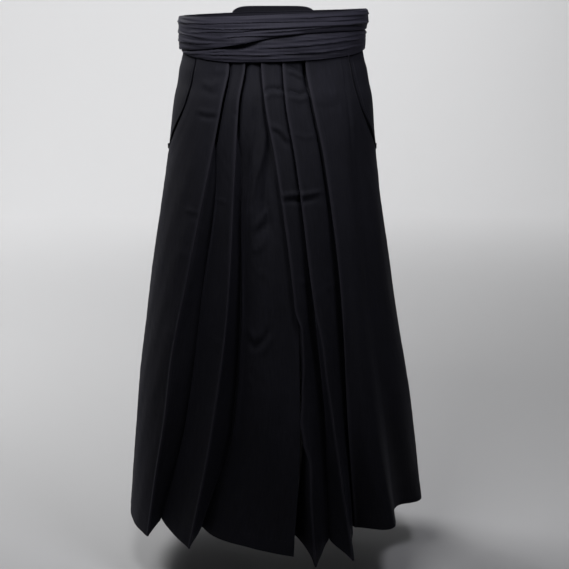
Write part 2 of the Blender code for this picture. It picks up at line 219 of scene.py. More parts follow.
F, V, S = Turn.FOLD, Turn.VALLEY, Turn.SOFT
FRONT_RIGHT = (
    Knot("side", S, (-143, -163, -208, -250, -281, -300), (0, 0, 0, 0, 0, 0), 962),
    Knot("outer", S, (-120, -140, -172, -226, -266, -288), (0, 0, 0, 0, 0, 2), 972),
    Knot("pleat_1", F, (-83, -96, -118, -174, -217, -251), (0, 0, 0, 0, 0, 0), 976,
         ((-0.46, 0), (-0.60, -3), (-0.74, 2), (-0.86, 0))),
    Knot("pleat_1_in", V, (-120, -122, -106, -139, -172, -226), (3.4, 6, 20, 45, 58, 62), 953),
    Knot("pleat_2_bow", S, (-80, -92, -98, -122, -150, -200), (4.4, 6, 12, 24, 28, 30), 960),
    Knot("pleat_2", F, (-52, -64, -71, -86, -119, -163), (0, 0, 0, 0, 0, 0), 971),
    Knot("pleat_2_in", V, (-72, -76, -60, -63, -80, -142), (6.2, 8.5, 20, 48, 66, 72), 955),
    Knot("centre_turn", S, (-48, -55, -50, -50, -62, -110), (4.6, 7, 10, 20, 30, 38), 958),
    Knot("centre_bow", S, (-36, -36, -38, -20, -20, -50), (3, 3, 2, 4, 6, 14), 962),
    Knot("centre_under", S, (-22, -14, 2, 25, 25, 5), (5, 6, 8, 8, 5, 2), 970),
    Knot("centre_seam", S, (14, 24, 38, 50, 52, 40), (12, 18, 19, 11, 2, 0), 976),
)
FRONT_LEFT = (
    Knot("pleat_3", F, (-20, -13, 7, 43, 62, 83), (0, 0, 0, 0, 0, 0), 999,
         ((-0.505, 0), (-0.545, 9), (-0.60, 8), (-0.66, 2), (-0.71, -4), (-0.745, -1), (-0.785, 7),
          (-0.86, 2), (-0.95, 0)), fall=2.6),
    Knot("pleat_3_bow", S, (18, 22, 34, 60, 78, 95), (5, 6, 8, 10, 12, 28), 985),
    Knot("pleat_4_in", V, (50, 54, 66, 79, 102, 110), (6.4, 8.5, 16, 32, 50, 58), 968),
    Knot("pleat_4", F, (20, 26, 45, 80, 121, 156), (0, 0, 0, 0, 0, 0), 994,
         ((-0.50, 0), (-0.57, 4), (-0.66, 2), (-0.76, 0))),
    Knot("pleat_4_bow", S, (61, 70, 86, 106, 134, 157), (4.6, 6, 8, 12, 24, 50), 975),
    Knot("pleat_5_in", V, (98, 102, 108, 132, 150, 159), (3.4, 6, 14, 32, 56, 80), 958),
    Knot("pleat_5", F, (63, 76, 99, 133, 147, 164), (0, 0, 0, 2, 24, 66), 955),
    Knot("side_ridge", S, (120, 134, 143, 171, 199, 238), (0, 0, 0, 2, 2, 0), 946),
    Knot("side_dip", S, (128, 142, 156, 190, 222, 249), (0.4, 1, 4, 12, 36, 100), 953),
    Knot("side_swell", S, (136, 152, 178, 214, 254, 284), (0.2, 0, 2, 10, 30, 95), 960),
    Knot("side", S, (143, 163, 204, 243, 284, 313), (0, 0, 0, 0, 0, 0), 962),
)
BACK_LEFT = (
    Knot("side", S, (58, 61, 90, 90, 90, 90), (3, 4, 0, 0, 0, 0), 962),
    Knot("side_back", S, (96, 98, 104, 106, 107, 107), (0, 0, 2, 6, 9, 12), 957),
    Knot("hip_ridge", S, (126, 126, 127, 128, 129, 131), (0, 0, 0, 0, 0, 0), 964),
    Knot("hip_dip", S, (142, 142, 142, 142, 142, 142), (0, 1, 4, 12, 22, 30), 955),
    Knot("pleat_6", F, (166, 165, 164, 162, 160, 158), (0, 0, 0, 0, 0, 0), 970),
    Knot("pleat_6_in", V, (151, 154, 160, 166, 166, 163), (3.4, 6, 20, 42, 56, 64), 955),
    Knot("back_bow", S, (168, 168, 168, 170, 170, 169), (4.6, 6, 10, 18, 24, 28), 958),
)
BACK_RIGHT = (
    Knot("back_bow", S, (-167, -167, -167, -169, -171, -170), (4.6, 6, 10, 19, 26, 30), 958),
    Knot("pleat_7_in", V, (-150, -153, -159, -165, -166, -164), (3.4, 6, 20, 44, 58, 66), 955),
    Knot("pleat_7", F, (-165, -164, -163, -161, -159, -156), (0, 0, 0, 0, 0, 0), 972),
    Knot("hip_dip", S, (-141, -141, -141, -140, -140, -139), (0, 1, 4, 12, 24, 32), 956),
    Knot("hip_ridge", S, (-125, -125, -126, -126, -127, -128), (0, 0, 0, 0, 0, 0), 966),
    Knot("side_back", S, (-96, -98, -104, -106, -107, -107), (0, 0, 2, 6, 9, 12), 958),
    Knot("side", S, (-58, -61, -90, -90, -90, -90), (3, 4, 0, 0, 0, 0), 962),
)


@dataclass(frozen=True)
class Crease:
    """A soft ridge or trough: its route in mm as (across, height), rise and half width.

    strips are the stretches of cloth that it marks, each named after the knot it ends at.
    """

    route: tuple[tuple[float, float], ...]
    rise: float
    width: float
    strips: tuple[str, ...]

    def field(self, x: np.ndarray, z: np.ndarray) -> np.ndarray:
        """Displacement that the crease gives at points, in metres."""
        best = np.full(x.shape, 1e9)
        along = np.zeros(x.shape)
        points = np.array(self.route) * MM
        lengths = np.hypot(*np.diff(points, axis=0).T)
        total = lengths.sum()
        run = 0.0
        for (ax, az), (bx, bz), length in zip(points[:-1], points[1:], lengths):
            t = np.clip(((x - ax) * (bx - ax) + (z - az) * (bz - az)) / length**2, 0.0, 1.0)
            away = np.hypot(x - ax - t * (bx - ax), z - az - t * (bz - az))
            nearer = away < best
            best = np.where(nearer, away, best)
            along = np.where(nearer, (run + t * length) / total, along)
            run += length
        ends = smooth(0.0, 0.22, along) * smooth(0.0, 0.22, 1 - along)
        profile = np.exp(-((best / (self.width * MM)) ** 2))
        return self.rise * MM * profile * (0.25 + 0.75 * ends)


# stretches of the fronts that show, from the wearer's right to left
S1, S2 = ("outer", "pleat_1"), ("pleat_2_bow", "pleat_2")
S3 = ("centre_turn", "centre_bow", "centre_under")
S4, S5 = ("pleat_3_bow", "pleat_4_in"), ("pleat_4_bow", "pleat_5_in")
S6 = ("side_ridge", "side_dip", "side_swell", "side")
FRONT_CREASES = (
    # pressed storage creases across the lapped pleats
    Crease(((-20, -105), (-5, -94), (24, -97)), -4.2, 4.2, S4),
    Crease(((-18, -113), (-4, -103), (26, -106)), 2.6, 5.0, S4),
    Crease(((28, -99), (52, -106), (66, -100)), -4.0, 4.2, S5),
    Crease(((28, -108), (52, -115), (70, -109)), 2.4, 5.0, S5),
    Crease(((24, -53), (42, -60), (58, -70)), -3.0, 4.0, S5),
    Crease(((30, -67), (44, -75), (56, -84)), -2.6, 4.0, S5),
    Crease(((26, -61), (44, -68), (60, -78)), 2.0, 4.0, S5),
    Crease(((60, -42), (66, -68), (71, -98)), -7.0, 9.0, S5),
    Crease(((-2, -160), (14, -170), (34, -193)), 3.0, 4.8, S4),
    Crease(((-4, -168), (12, -179), (30, -203)), -2.4, 4.8, S4),
    Crease(((38, -176), (60, -184), (84, -182)), 1.2, 4.4, S5),
    Crease(((14, -290), (50, -290), (94, -286)), 3.4, 4.2, S4 + S5),
    Crease(((14, -301), (50, -303), (86, -299)), -3.0, 4.4, S4 + S5),
    Crease(((44, -452), (66, -456)), 1.4, 4.5, S4),
    Crease(((96, -470), (128, -464)), 1.2, 5.0, S5),
    Crease(((60, -380), (80, -388)), 1.0, 6.0, S4),
    # the wearer's right front
    Crease(((-142, -146), (-122, -150), (-102, -148)), -2.4, 4.0, S1),
    Crease(((-142, -136), (-122, -140), (-104, -139)), 1.7, 4.6, S1),
    Crease(((-166, -332), (-150, -336), (-138, -334)), -1.9, 4.0, S1),
    Crease(((-166, -323), (-150, -327), (-140, -326)), 1.1, 4.6, S1),
    Crease(((-134, -84), (-116, -92), (-96, -80)), 1.9, 6.0, S1),
    Crease(((-112, -62), (-96, -64), (-84, -60)), 1.6, 7.0, S1),
    Crease(((-136, -98), (-112, -106), (-98, -102)), -1.4, 6.0, S1),
    Crease(((-182, -404), (-160, -412)), 1.3, 6.0, S1),
    Crease(((-212, -560), (-186, -566)), 1.4, 6.0, S1),
    Crease(((-236, -690), (-214, -700)), -1.2, 7.0, S1),
    Crease(((-118, -300), (-86, -306)), 1.3, 4.5, S2),
    Crease(((-74, -140), (-60, -144)), -1.2, 4.0, S2),
    Crease(((-130, -560), (-98, -572)), 1.4, 6.0, S2),
    Crease(((-140, -706), (-112, -700)), 1.3, 6.0, S2),
    # centre panel: the ridge and the two hollows under the lapped edge, then small wrinkles
    Crease(((-30, -120), (-38, -165), (-48, -220), (-54, -285)), -6.0, 9.0, S3),
    Crease(((-9, -150), (-18, -214), (-32, -258), (-40, -302), (-42, -372)), 5.0, 6.0, S3),
    Crease(((-14, -120), (-8, -170), (-6, -230), (-14, -300), (-4, -380)), -7.0, 9.0, S3),
    Crease(((-36, -352), (-22, -336), (-8, -316)), 3.6, 5.2, S3),
    Crease(((-34, -366), (-18, -352), (0, -340)), -3.2, 5.2, S3),
    Crease(((-40, -394), (-26, -390), (-12, -374)), 3.0, 5.4, S3),
    Crease(((-30, -440), (-14, -436)), 1.8, 5.0, S3),
    Crease(((-54, -563), (-34, -579), (-20, -566), (-4, -540)), -4.2, 5.4, S3),
    Crease(((-48, -546), (-30, -560), (-16, -546)), 2.6, 5.4, S3),
    Crease(((-30, -590), (-14, -578), (0, -552)), 2.8, 5.6, S3),
    Crease(((-50, -640), (-34, -646)), 1.4, 6.0, S3),
    Crease(((-86, -300), (-70, -420), (-60, -560), (-72, -760), (-96, -930)), -2.6, 14.0, S3),
    Crease(((-10, -620), (-14, -760), (-26, -900)), 2.2, 16.0, S3),
    # the wearer's left side: long soft folds from the hip
    Crease(((92, -96), (108, -108), (126, -104)), 1.2, 6.0, S6),
    Crease(((80, -124), (104, -132), (130, -122)), -0.9, 7.0, S6),
    Crease(((146, -90), (152, -160), (156, -230), (170, -330), (182, -430)), 2.4, 6.0, S6),
    Crease(((152, -180), (166, -300), (184, -430), (196, -560)), -3.2, 8.0, S6),
    Crease(((140, -520), (150, -640), (164, -780), (176, -900)), -3.0, 10.0, S6),
    Crease(((158, -560), (176, -700), (196, -860)), 2.6, 10.0, S6),
)
# stretches of the backs: beside the pleat, and over the hip
B7, B6 = ("hip_dip", "pleat_6"), ("side_back", "hip_ridge")
BACK_CREASES = (
    # on the backs, across is the plan x of the cloth
    Crease(((44, -110), (88, -118), (140, -104)), 1.2, 5.0, B7 + B6),
    Crease(((52, -292), (96, -290), (150, -296)), 1.3, 3.2, B7 + B6),
    Crease(((58, -305), (96, -304), (146, -310)), -0.9, 3.6, B7 + B6),
    Crease(((120, -160), (150, -300), (176, -470), (190, -640)), 2.6, 12.0, B6),
    Crease(((96, -180), (116, -330), (130, -520), (146, -760)), -2.8, 12.0, B6 + B7),
    Crease(((-40, -104), (-92, -114), (-140, -108)), 1.1, 5.0, B7 + B6 + ("pleat_7",)),
    Crease(((-50, -288), (-100, -292), (-152, -286)), 1.3, 3.2, B6 + B7 + ("pleat_7",)),
    Crease(((-118, -170), (-146, -320), (-170, -480), (-186, -680)), 2.4, 12.0, B6),
    Crease(((-92, -200), (-112, -350), (-132, -560), (-140, -780)), -2.6, 12.0, B6 + B7),
    Crease(((70, -640), (96, -628), (124, -640)), 0.9, 6.0, B7 + B6),
    Crease(((-76, -560), (-108, -574), (-140, -560)), 0.9, 6.0, B6 + B7),
)


@dataclass(frozen=True)
class Undercut:
    """The groove that a lapped edge leaves in the cloth it lies on, and the swell beside it."""

    over: Knot
    side: int
    strips: tuple[str, ...]
    depth: float = 7.5
    width: float = 4.4
    swell: float = 2.6
    on_front: bool = True
    mouth: float = 0.35

    def field(self, x: np.ndarray, z: np.ndarray) -> np.ndarray:
        """Displacement at points, in metres."""
        away = (x - self.over.plan_x(z, self.on_front)) * self.side / MM
        fade = smooth(-0.42, -0.20, z)
        mouth = self.mouth + (1 - self.mouth) * smooth(-0.046, -0.085, z)
        groove = -self.depth * mouth * np.exp(-(((away - 0.5) / self.width) ** 2))
        beside = self.swell * np.exp(-(((away - 12.0) / 8.0) ** 2))
        return (groove + beside) * fade * MM


UNDERCUTS = (
    Undercut(FRONT_RIGHT[2], 1, ("pleat_2_bow", "pleat_2"), depth=9.5, width=5.0),
    Undercut(FRONT_RIGHT[5], 1, S3, depth=9.5, width=5.0, swell=2.0),
    Undercut(FRONT_LEFT[0], -1, S3 + ("centre_seam",), depth=5.0, swell=0.0),
    Undercut(FRONT_LEFT[3], -1, S4, depth=6.5, width=3.2),
    Undercut(FRONT_LEFT[6], -1, S5, depth=10.0, width=5.5, swell=2.0, mouth=0.6),
    Undercut(BACK_LEFT[4], -1, ("back_bow", "centre_seam"), on_front=False),
    Undercut(BACK_RIGHT[2], 1, ("back_bow", "pleat_7_in"), on_front=False),
)


def soft_noise(u: np.ndarray, v: np.ndarray, seed: int, span: float, stretch: float) -> np.ndarray:
    """Smooth noise made of a few seeded waves.

    Args:
        u: place across the cloth.
        v: place down the cloth.
        seed: fixed seed of the waves.
        span: typical wavelength across, in metres.
        stretch: how much longer the waves are down the cloth.

    Returns:
        Values of about -1 to 1.
    """
    rng = np.random.default_rng(seed)
    total = np.zeros(np.broadcast(u, v).shape)
    for _ in range(7):
        ku, kv = rng.normal(0, 1, 2)
        phase = rng.uniform(0, 2 * math.pi)
        total += np.sin(2 * math.pi * (ku * u / span + kv * v / (span * stretch)) + phase)
    return total / 4.0


# ---- meshes -------------------------------------------------------------------------------
@dataclass
class Grid:
    """A sheet of cloth as rows of points, with what its dressing needs."""

    points: np.ndarray
    strips: list[str]
    # rubbed edges, and painted highlights on fold edges and raised laps, from 0 to 1
    wear_and_painted_highlight: np.ndarray
    closed: bool = False

    def normals(self) -> np.ndarray:
        """Unit normals that point out of the garment."""
        p = self.points
        if self.closed:
            across = np.roll(p, -1, axis=1) - np.roll(p, 1, axis=1)
        else:
            across = np.gradient(p, axis=1)
        down = np.gradient(p, axis=0)
        n = np.cross(down, across)
        return n / np.maximum(np.linalg.norm(n, axis=2, keepdims=True), 1e-12)

    def widths(self) -> np.ndarray:
        """Place of each column across the cloth, in metres, averaged over the rows."""
        steps = np.linalg.norm(np.diff(self.points, axis=1), axis=2).mean(axis=0)
        return np.concatenate([[0.0], np.cumsum(steps)])

    def lengths(self) -> np.ndarray:
        """Place of each point down the cloth, in metres."""
        steps = np.linalg.norm(np.diff(self.points, axis=0), axis=2)
        return np.concatenate([np.zeros((1, self.points.shape[1])), np.cumsum(steps, axis=0)])


def shell(name: str, grid: Grid, wall: float) -> bpy.types.Object:
    """Give a grid its thickness and make it an object.

    Args:
        name: name of the piece.
        grid: the middle of the cloth.
        wall: thickness of the cloth.

    Returns:
        A closed mesh with a UV map in metres of cloth and an attribute that marks rubbed edges and painted
        highlights.
    """
    rows, cols, _ = grid.points.shape
    normal = grid.normals() * wall / 2
    verts = np.concatenate([(grid.points + normal).reshape(-1, 3), (grid.points - normal).reshape(-1, 3)])
    index = np.arange(rows * cols).reshape(rows, cols)
    right = np.roll(index, -1, axis=1) if grid.closed else index[:, 1:]
    left = index if grid.closed else index[:, :-1]
    a, b, c, d = left[:-1], left[1:], right[1:], right[:-1]
    outer = np.stack([a, b, c, d], axis=-1).reshape(-1, 4)
    far = rows * cols
    inner = np.stack([a, d, c, b], axis=-1).reshape(-1, 4) + far
    faces = [outer, inner]
    top = np.stack([left[0], right[0], right[0] + far, left[0] + far], axis=-1)
    low = np.stack([left[-1], left[-1] + far, right[-1] + far, right[-1]], axis=-1)
    faces += [top, low]
    if not grid.closed:
        first, last = index[:, 0], index[:, -1]
        faces.append(np.stack([first[:-1], first[:-1] + far, first[1:] + far, first[1:]], axis=-1))
        faces.append(np.stack([last[:-1], last[1:], last[1:] + far, last[:-1] + far], axis=-1))
    quads = np.concatenate(faces)
    mesh = bpy.data.meshes.new(name)
    mesh.from_pydata(verts.tolist(), [], quads.tolist())
    mesh.update()
    widths, lengths = grid.widths(), grid.lengths()
    uv = np.zeros((rows, cols, 2))
    uv[..., 0] = widths[None, :cols]
    uv[..., 1] = -lengths
    flat = np.tile(uv.reshape(-1, 2), (2, 1))
    corner = np.zeros(len(mesh.loops), np.int64)
    mesh.loops.foreach_get("vertex_index", corner)
    layer = mesh.uv_layers.new(name="cloth")
    layer.data.foreach_set("uv", flat[corner].astype(np.float32).ravel())
    # rubbed edges and painted highlights, which the cloth's colour reads
    wear_and_painted_highlight = mesh.attributes.new("edge_wear", "FLOAT", "POINT")
    wear_and_painted_highlight.data.foreach_set("value", np.tile(grid.wear_and_painted_highlight.ravel(), 2).astype(np.float32))
    mesh.shade_smooth()
    mesh.set_sharp_from_angle(angle=math.radians(62))
    piece = bpy.data.objects.new(name, mesh)
    bpy.context.scene.collection.objects.link(piece)
    return piece


def declare(piece: bpy.types.Object, material: bpy.types.Material,
            node: Optional[str] = None) -> None:
    """Give a piece its material and body, and hide the solid that it stands for."""
    piece.data.materials.append(material)
    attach(piece, ROOT)
    if node:
        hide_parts(node)


def polyline(name: str, points: np.ndarray, closed: bool = False) -> bpy.types.Object:
    """A mesh of edges through points, as the route of a stitch run."""
    mesh = bpy.data.meshes.new(name)
    count = len(points)
    edges = [(i, (i + 1) % count) for i in range(count if closed else count - 1)]
    mesh.from_pydata([tuple(p) for p in points], edges, [])
    route = bpy.data.objects.new(name, mesh)
    bpy.context.scene.collection.objects.link(route)
    return route


# ---- materials ----------------------------------------------------------------------------
def srgb(code: str) -> tuple[float, float, float, float]:
    """Turn an sRGB hex colour to linear RGBA."""
    channels = [int(code[i:i + 2], 16) / 255 for i in (1, 3, 5)]
    linear = [c / 12.92 if c <= 0.04045 else ((c + 0.055) / 1.055) ** 2.4 for c in channels]
    return (*linear, 1.0)


def add(tree: bpy.types.NodeTree, kind: str, settings: Optional[dict] = None,
        links: Optional[dict] = None) -> bpy.types.Node:
    """Add a node with its settings and links.

    Args:
        tree: the node tree.
        kind: the node's type name.
        settings: attribute or input name to value.
        links: input name or number to the socket that feeds it.

    Returns:
        The new node.
    """
    node = tree.nodes.new(kind)
    for key, value in (settings or {}).items():
        if isinstance(key, str) and hasattr(node, key):
            setattr(node, key, value)
        else:
            node.inputs[key].default_value = value
    for key, socket in (links or {}).items():
        tree.links.new(socket, node.inputs[key])
    return node


def new_tree(name: str) -> tuple[bpy.types.Material, bpy.types.NodeTree]:
    """Make a material with an empty node tree."""
    material = bpy.data.materials.new(name)
    material.use_nodes = True
    material.node_tree.nodes.clear()
    return material, material.node_tree


def surface(tree: bpy.types.NodeTree, settings: dict) -> bpy.types.Node:
    """Add a Principled shader that feeds the material output."""
    out = add(tree, "ShaderNodeOutputMaterial")
    shader = add(tree, "ShaderNodeBsdfPrincipled", settings)
    tree.links.new(shader.outputs[0], out.inputs["Surface"])
    return shader


def scaled(tree: bpy.types.NodeTree, coordinates: bpy.types.NodeSocket, across: float,
           down: float) -> bpy.types.NodeSocket:
    """Scale cloth coordinates by repeats a metre."""
    mapping = add(tree, "ShaderNodeMapping", {"Scale": (across, down, 1.0)}, {"Vector": coordinates})
    return mapping.outputs[0]


def ranged(tree: bpy.types.NodeTree, value: bpy.types.NodeSocket, source: tuple[float, float],
           target: tuple[float, float]) -> bpy.types.NodeSocket:
    """Map a value from one range to another."""
    limits = {"From Min": source[0], "From Max": source[1], "To Min": target[0], "To Max": target[1]}
    return add(tree, "ShaderNodeMapRange", limits, {"Value": value}).outputs[0]


@dataclass(frozen=True)
class WovenCloth:
    """Blue-black suiting, woven, dyed in the piece and pressed.

    The eye gets a dull dark ground, a fine weave that only shows as tooth, faint slubs
    down the warp, and a smoother line where the iron set a fold, with a slight painted highlight that makes
    it paler.
    """

    name: str
    ground: str
    lit: str
    # colour of pressed and rubbed edges, also painted on fold edges and raised laps as a highlight
    pressed: str
    roughness: float = 0.78
    sheen: float = 0.05
    thread_mm: float = 1.5      # real threads are near 0.4 mm; drawn coarser so that they show
    tooth: float = 0.22

    def make(self) -> bpy.types.Material:
        """Build the material."""
        material, tree = new_tree(self.name)
        shader = surface(tree, {
            "Metallic": 0.0, "IOR": 1.34, "Specular IOR Level": 0.16,
            "Sheen Weight": self.sheen, "Sheen Roughness": 0.45, "Sheen Tint": srgb("#8c8ca6")})
        uv = add(tree, "ShaderNodeUVMap", {"uv_map": "cloth"}).outputs[0]
        slubs = add(tree, "ShaderNodeTexNoise", {"Scale": 1.0, "Detail": 3.0, "Roughness": 0.6},
                    {"Vector": scaled(tree, uv, 420.0, 26.0)})
        patches = add(tree, "ShaderNodeTexNoise", {"Scale": 1.0, "Detail": 4.0, "Roughness": 0.55},
                      {"Vector": scaled(tree, uv, 9.0, 5.0)})
        # mask of rubbed edges and of painted highlights on fold edges and raised laps
        wear_and_painted_highlight = add(tree, "ShaderNodeAttribute", {"attribute_name": "edge_wear"})
        self.colour(tree, shader, slubs, patches, wear_and_painted_highlight)
        low, high = self.roughness - 0.07, self.roughness + 0.06
        dull = ranged(tree, patches.outputs["Fac"], (0.3, 0.7), (low, high))
        ironed = add(tree, "ShaderNodeMath", {"operation": "MULTIPLY_ADD", 1: -0.16},
                     {0: wear_and_painted_highlight.outputs["Fac"], 2: dull})
        tree.links.new(ironed.outputs[0], shader.inputs["Roughness"])
        height = add(tree, "ShaderNodeMath", {"operation": "MULTIPLY_ADD", 1: 0.7},
                     {0: slubs.outputs["Fac"], 2: self.weave(tree, uv)})
        bump = add(tree, "ShaderNodeBump", {"Strength": self.tooth, "Distance": 0.0004},
                   {"Height": height.outputs[0]})
        tree.links.new(bump.outputs[0], shader.inputs["Normal"])
        return material

    def weave(self, tree: bpy.types.NodeTree, uv: bpy.types.NodeSocket) -> bpy.types.NodeSocket:
        """Warp crossed with weft."""
        turns = 1.0 / (self.thread_mm * MM)
        threads = scaled(tree, uv, turns, turns)
        sets = [add(tree, "ShaderNodeTexWave", {"bands_direction": axis, "Scale": 0.5, "Distortion": 0.6,
                                                "Detail": 1.0, "Detail Scale": 0.4}, {"Vector": threads})
                for axis in ("X", "Y")]
        crossed = add(tree, "ShaderNodeMath", {"operation": "MULTIPLY"},
                      {0: sets[0].outputs["Fac"], 1: sets[1].outputs["Fac"]})
        return crossed.outputs[0]

    def colour(self, tree: bpy.types.NodeTree, shader: bpy.types.Node, slubs: bpy.types.Node,
               patches: bpy.types.Node, wear_and_painted_highlight: bpy.types.Node) -> None:
        """Feed the base colour: ground to lit by the slubs, toned in patches, paler on pressed and rubbed
        edges, and with painted highlights on fold edges and raised laps.
        """
        spread = ranged(tree, slubs.outputs["Fac"], (0.34, 0.68), (0.0, 1.0))
        base = add(tree, "ShaderNodeMix", {"data_type": "RGBA", 6: srgb(self.ground), 7: srgb(self.lit)},
                   {0: spread})
        tone = ranged(tree, patches.outputs["Fac"], (0.3, 0.7), (0.82, 1.14))
        toned = add(tree, "ShaderNodeVectorMath", {"operation": "SCALE"}, {0: base.outputs[2], "Scale": tone})
        # paler toward the pressed colour by the mask: rubbing, and a painted highlight
        rubbed_and_highlit = add(tree, "ShaderNodeMix", {"data_type": "RGBA", 7: srgb(self.pressed)},
                   {0: wear_and_painted_highlight.outputs["Fac"], 6: toned.outputs[0]})
        tree.links.new(rubbed_and_highlit.outputs[2], shader.inputs["Base Color"])


@dataclass(frozen=True)
class SewingThread:
    """Twisted polyester sewing thread: dark, with a small hard highlight on each stitch."""

    name: str = "twisted_polyester_thread"
    colour: str = "#131318"
    lit: str = "#1e1d25"

    def make(self) -> bpy.types.Material:
        """Build the material."""
        material, tree = new_tree(self.name)
        shader = surface(tree, {"Roughness": 0.5, "IOR": 1.5, "Specular IOR Level": 0.4})
        where = add(tree, "ShaderNodeTexCoord").outputs["Object"]
        ply = add(tree, "ShaderNodeTexNoise", {"Scale": 900.0, "Detail": 2.0}, {"Vector": where})
        shade = add(tree, "ShaderNodeMix", {"data_type": "RGBA", 6: srgb(self.colour), 7: srgb(self.lit)},
                    {0: ply.outputs["Fac"]})
        tree.links.new(shade.outputs[2], shader.inputs["Base Color"])
        return material


# ---- pleated panels -----------------------------------------------------------------------
CENTRE_FIRST = ("front_left", "back_right")
HIDDEN = ("pleat_1_in", "pleat_2_in", "pleat_4", "pleat_5", "pleat_6_in", "pleat_7")


@dataclass(frozen=True)
class Stop:
    """A knot read at every row of a panel."""

    name: str
    turn: Turn
    angle: np.ndarray
    inset: np.ndarray
    drop: float
    fall: float = 1.0

    def plan(self, z: np.ndarray) -> np.ndarray:
        """Plan place of the knot at each row."""
        return np.stack(FORM.plan(self.angle, self.inset, z), axis=-1)


@dataclass
class Warp:
    """Columns of a panel in the making, in order round the garment."""

    plans: list[np.ndarray] = field(default_factory=list)
    names: list[str] = field(default_factory=list)
    drops: list[float] = field(default_factory=list)

    def add(self, plan: np.ndarray, name: str, drop: float, first: bool = False) -> None:
        """Add a column after the others, or before them all."""
        at = 0 if first else len(self.plans)
        self.plans.insert(at, plan)
        self.names.insert(at, name)
        self.drops.insert(at, drop)


@dataclass
class Loom:
    """Draws fine sections through knots and hangs them as grids."""

    top: float
    fine: float = 0.0034            # column spacing where grooves and creases lie
    plain: float = 0.0056
    hidden: float = 0.0085
    fine_row: float = 0.0034        # row spacing above fine_to
    plain_row: float = 0.0066
    fine_to: float = -0.330
    fold_radius: float = 0.0011
    fold_steps: int = 7
    tail: float = 0.010             # depth of the centre seam allowance
    tail_bend: float = 0.4
    half_seam: float = 0.00053
    slit_open: float = 0.55         # how far a side opening stands open, as a share of its pattern
    back_seam_at: tuple[float, ...] = (-2, -2, -2, 0, -12, -22)
    back_seam_in: tuple[float, ...] = (7, 8, 10, 10, 10, 12)
    front_aside: tuple[float, ...] = (0, 0, 0, 0, 6, 0)
    front_inward: tuple[float, ...] = (-2.6, -2.6, -2.6, -2.6, 30, 80)
    back_aside: tuple[float, ...] = (0, 0, 0, 0, 32, 56)
    seam_drops: dict[str, float] = field(default_factory=lambda: {
        "front_right": 976, "front_left": 964, "back_right": 960, "back_left": 960})

    def heights(self, top: float) -> np.ndarray:
        """Nominal heights of the rows from a top edge to the hem."""
        turn = min(self.fine_to, top)
        fine = np.linspace(top, turn, int(round((top - turn) / self.fine_row)) + 1)
        plain = np.linspace(turn, HEM, int(round((turn - HEM) / self.plain_row)) + 1)
        return np.concatenate([fine[:-1], plain])

    def seam(self, corner: str, z: np.ndarray) -> tuple[np.ndarray, np.ndarray]:
        """Angle and inset of a panel's centre corner, before its half seam."""
        front = FRONT_RIGHT[-1]
        if corner.startswith("front"):
            x, inset = level(front.at, z), level(front.inset, z)
            if corner == "front_left":
                x, inset = x + level(self.front_aside, z), inset + level(self.front_inward, z)
            return FORM.front_angle(x, z), inset
        x = level(self.back_seam_at, z)
        if corner == "back_left":
            x = x + level(self.back_aside, z)
        return FORM.back_angle(x, z), level(self.back_seam_in, z)

    def tail_end(self, corner: str, z: np.ndarray) -> np.ndarray:
        """Plan end of a panel's centre seam allowance."""
        angle, inset = self.seam(corner, z)
        x, y = FORM.plan(angle, inset, z)
        side = -self.half_seam if corner.endswith("right") else self.half_seam
        deeper = -self.front_inward[0] * MM if corner == "front_left" else 0.0
        reach = self.tail + deeper if corner.startswith("front") else -self.tail
        return np.stack([x + side, y + reach], axis=-1)

    def hang(self, z: np.ndarray, drop: np.ndarray) -> np.ndarray:
        """Heights of a grid whose columns end at their own hem drops."""
        share = np.clip((z - CROTCH) / (HEM - CROTCH), 0.0, None)[:, None]
        below = CROTCH + (-drop[None, :] * MM - CROTCH) * share
        return np.where(z[:, None] >= CROTCH, z[:, None], below)

    def draw(self, knots: Sequence[Knot], corner: str, z: np.ndarray) -> Grid:
        """Draw a pleated panel through its knots.

        Args:
            knots: the panel's knots, in order round the garment.
            corner: name of the panel, which says where its centre seam is.
            z: nominal row heights.

        Returns:
            The grid, with strips named after the knots they end at.
        """
        stops = self.stops(knots, corner, z)
        plans = [stop.plan(z) for stop in stops]
        turns = {i: self.turn(plans[i - 1], plans[i], plans[i + 1], stop.turn)
                 for i, stop in enumerate(stops) if stop.turn != Turn.SOFT}
        warp = Warp()
        start, final = 0, len(stops) - 1
        while start < final:
            end = next(i for i in range(start + 1, len(stops)) if i in turns or i == final)
            self.strip(stops[start:end + 1], turns.get(start), turns.get(end), z, warp)
            if end in turns:
                self.arc(plans[end], turns[end], stops[end], warp)
            start = end
        self.tuck_centre(warp, corner, z)
        plan = np.stack(warp.plans, axis=1)
        points = np.concatenate([plan, self.hang(z, np.array(warp.drops))[..., None]], axis=2)
        return Grid(points, warp.names, self.wear_and_painted_highlight(warp.names, points))

    def stops(self, knots: Sequence[Knot], corner: str, z: np.ndarray) -> list[Stop]:
        """Read a panel's knots at rows z, with its side edge drawn in and its centre seam."""
        front = corner.startswith("front")
        stops = []
        for knot in knots:
            angle = (FORM.front_angle(knot.offset(z), z) if front
                     else np.radians(read_table(HEIGHTS, knot.at, z)))
            stops.append(Stop(knot.name, knot.turn, angle, level(knot.inset, z), knot.drop, knot.fall))
        if corner == "front_right":
            stops.pop()
        if not front:
            edge = 0 if corner == "back_left" else -1
            facing = FRONT_LEFT[-1] if corner == "back_left" else FRONT_RIGHT[0]
            shut = FORM.front_angle(facing.offset(z), z)
            ajar = shut + (stops[edge].angle - shut) * self.slit_open
            stops[edge] = replace(stops[edge], angle=ajar)
        angle, inset = self.seam(corner, z)
        if corner == "back_right":
            angle = angle - 2 * math.pi
        centre = [Stop("centre_seam", Turn.SOFT, angle, inset, self.seam_drops[corner])]
        return centre + stops if corner in CENTRE_FIRST else stops + centre

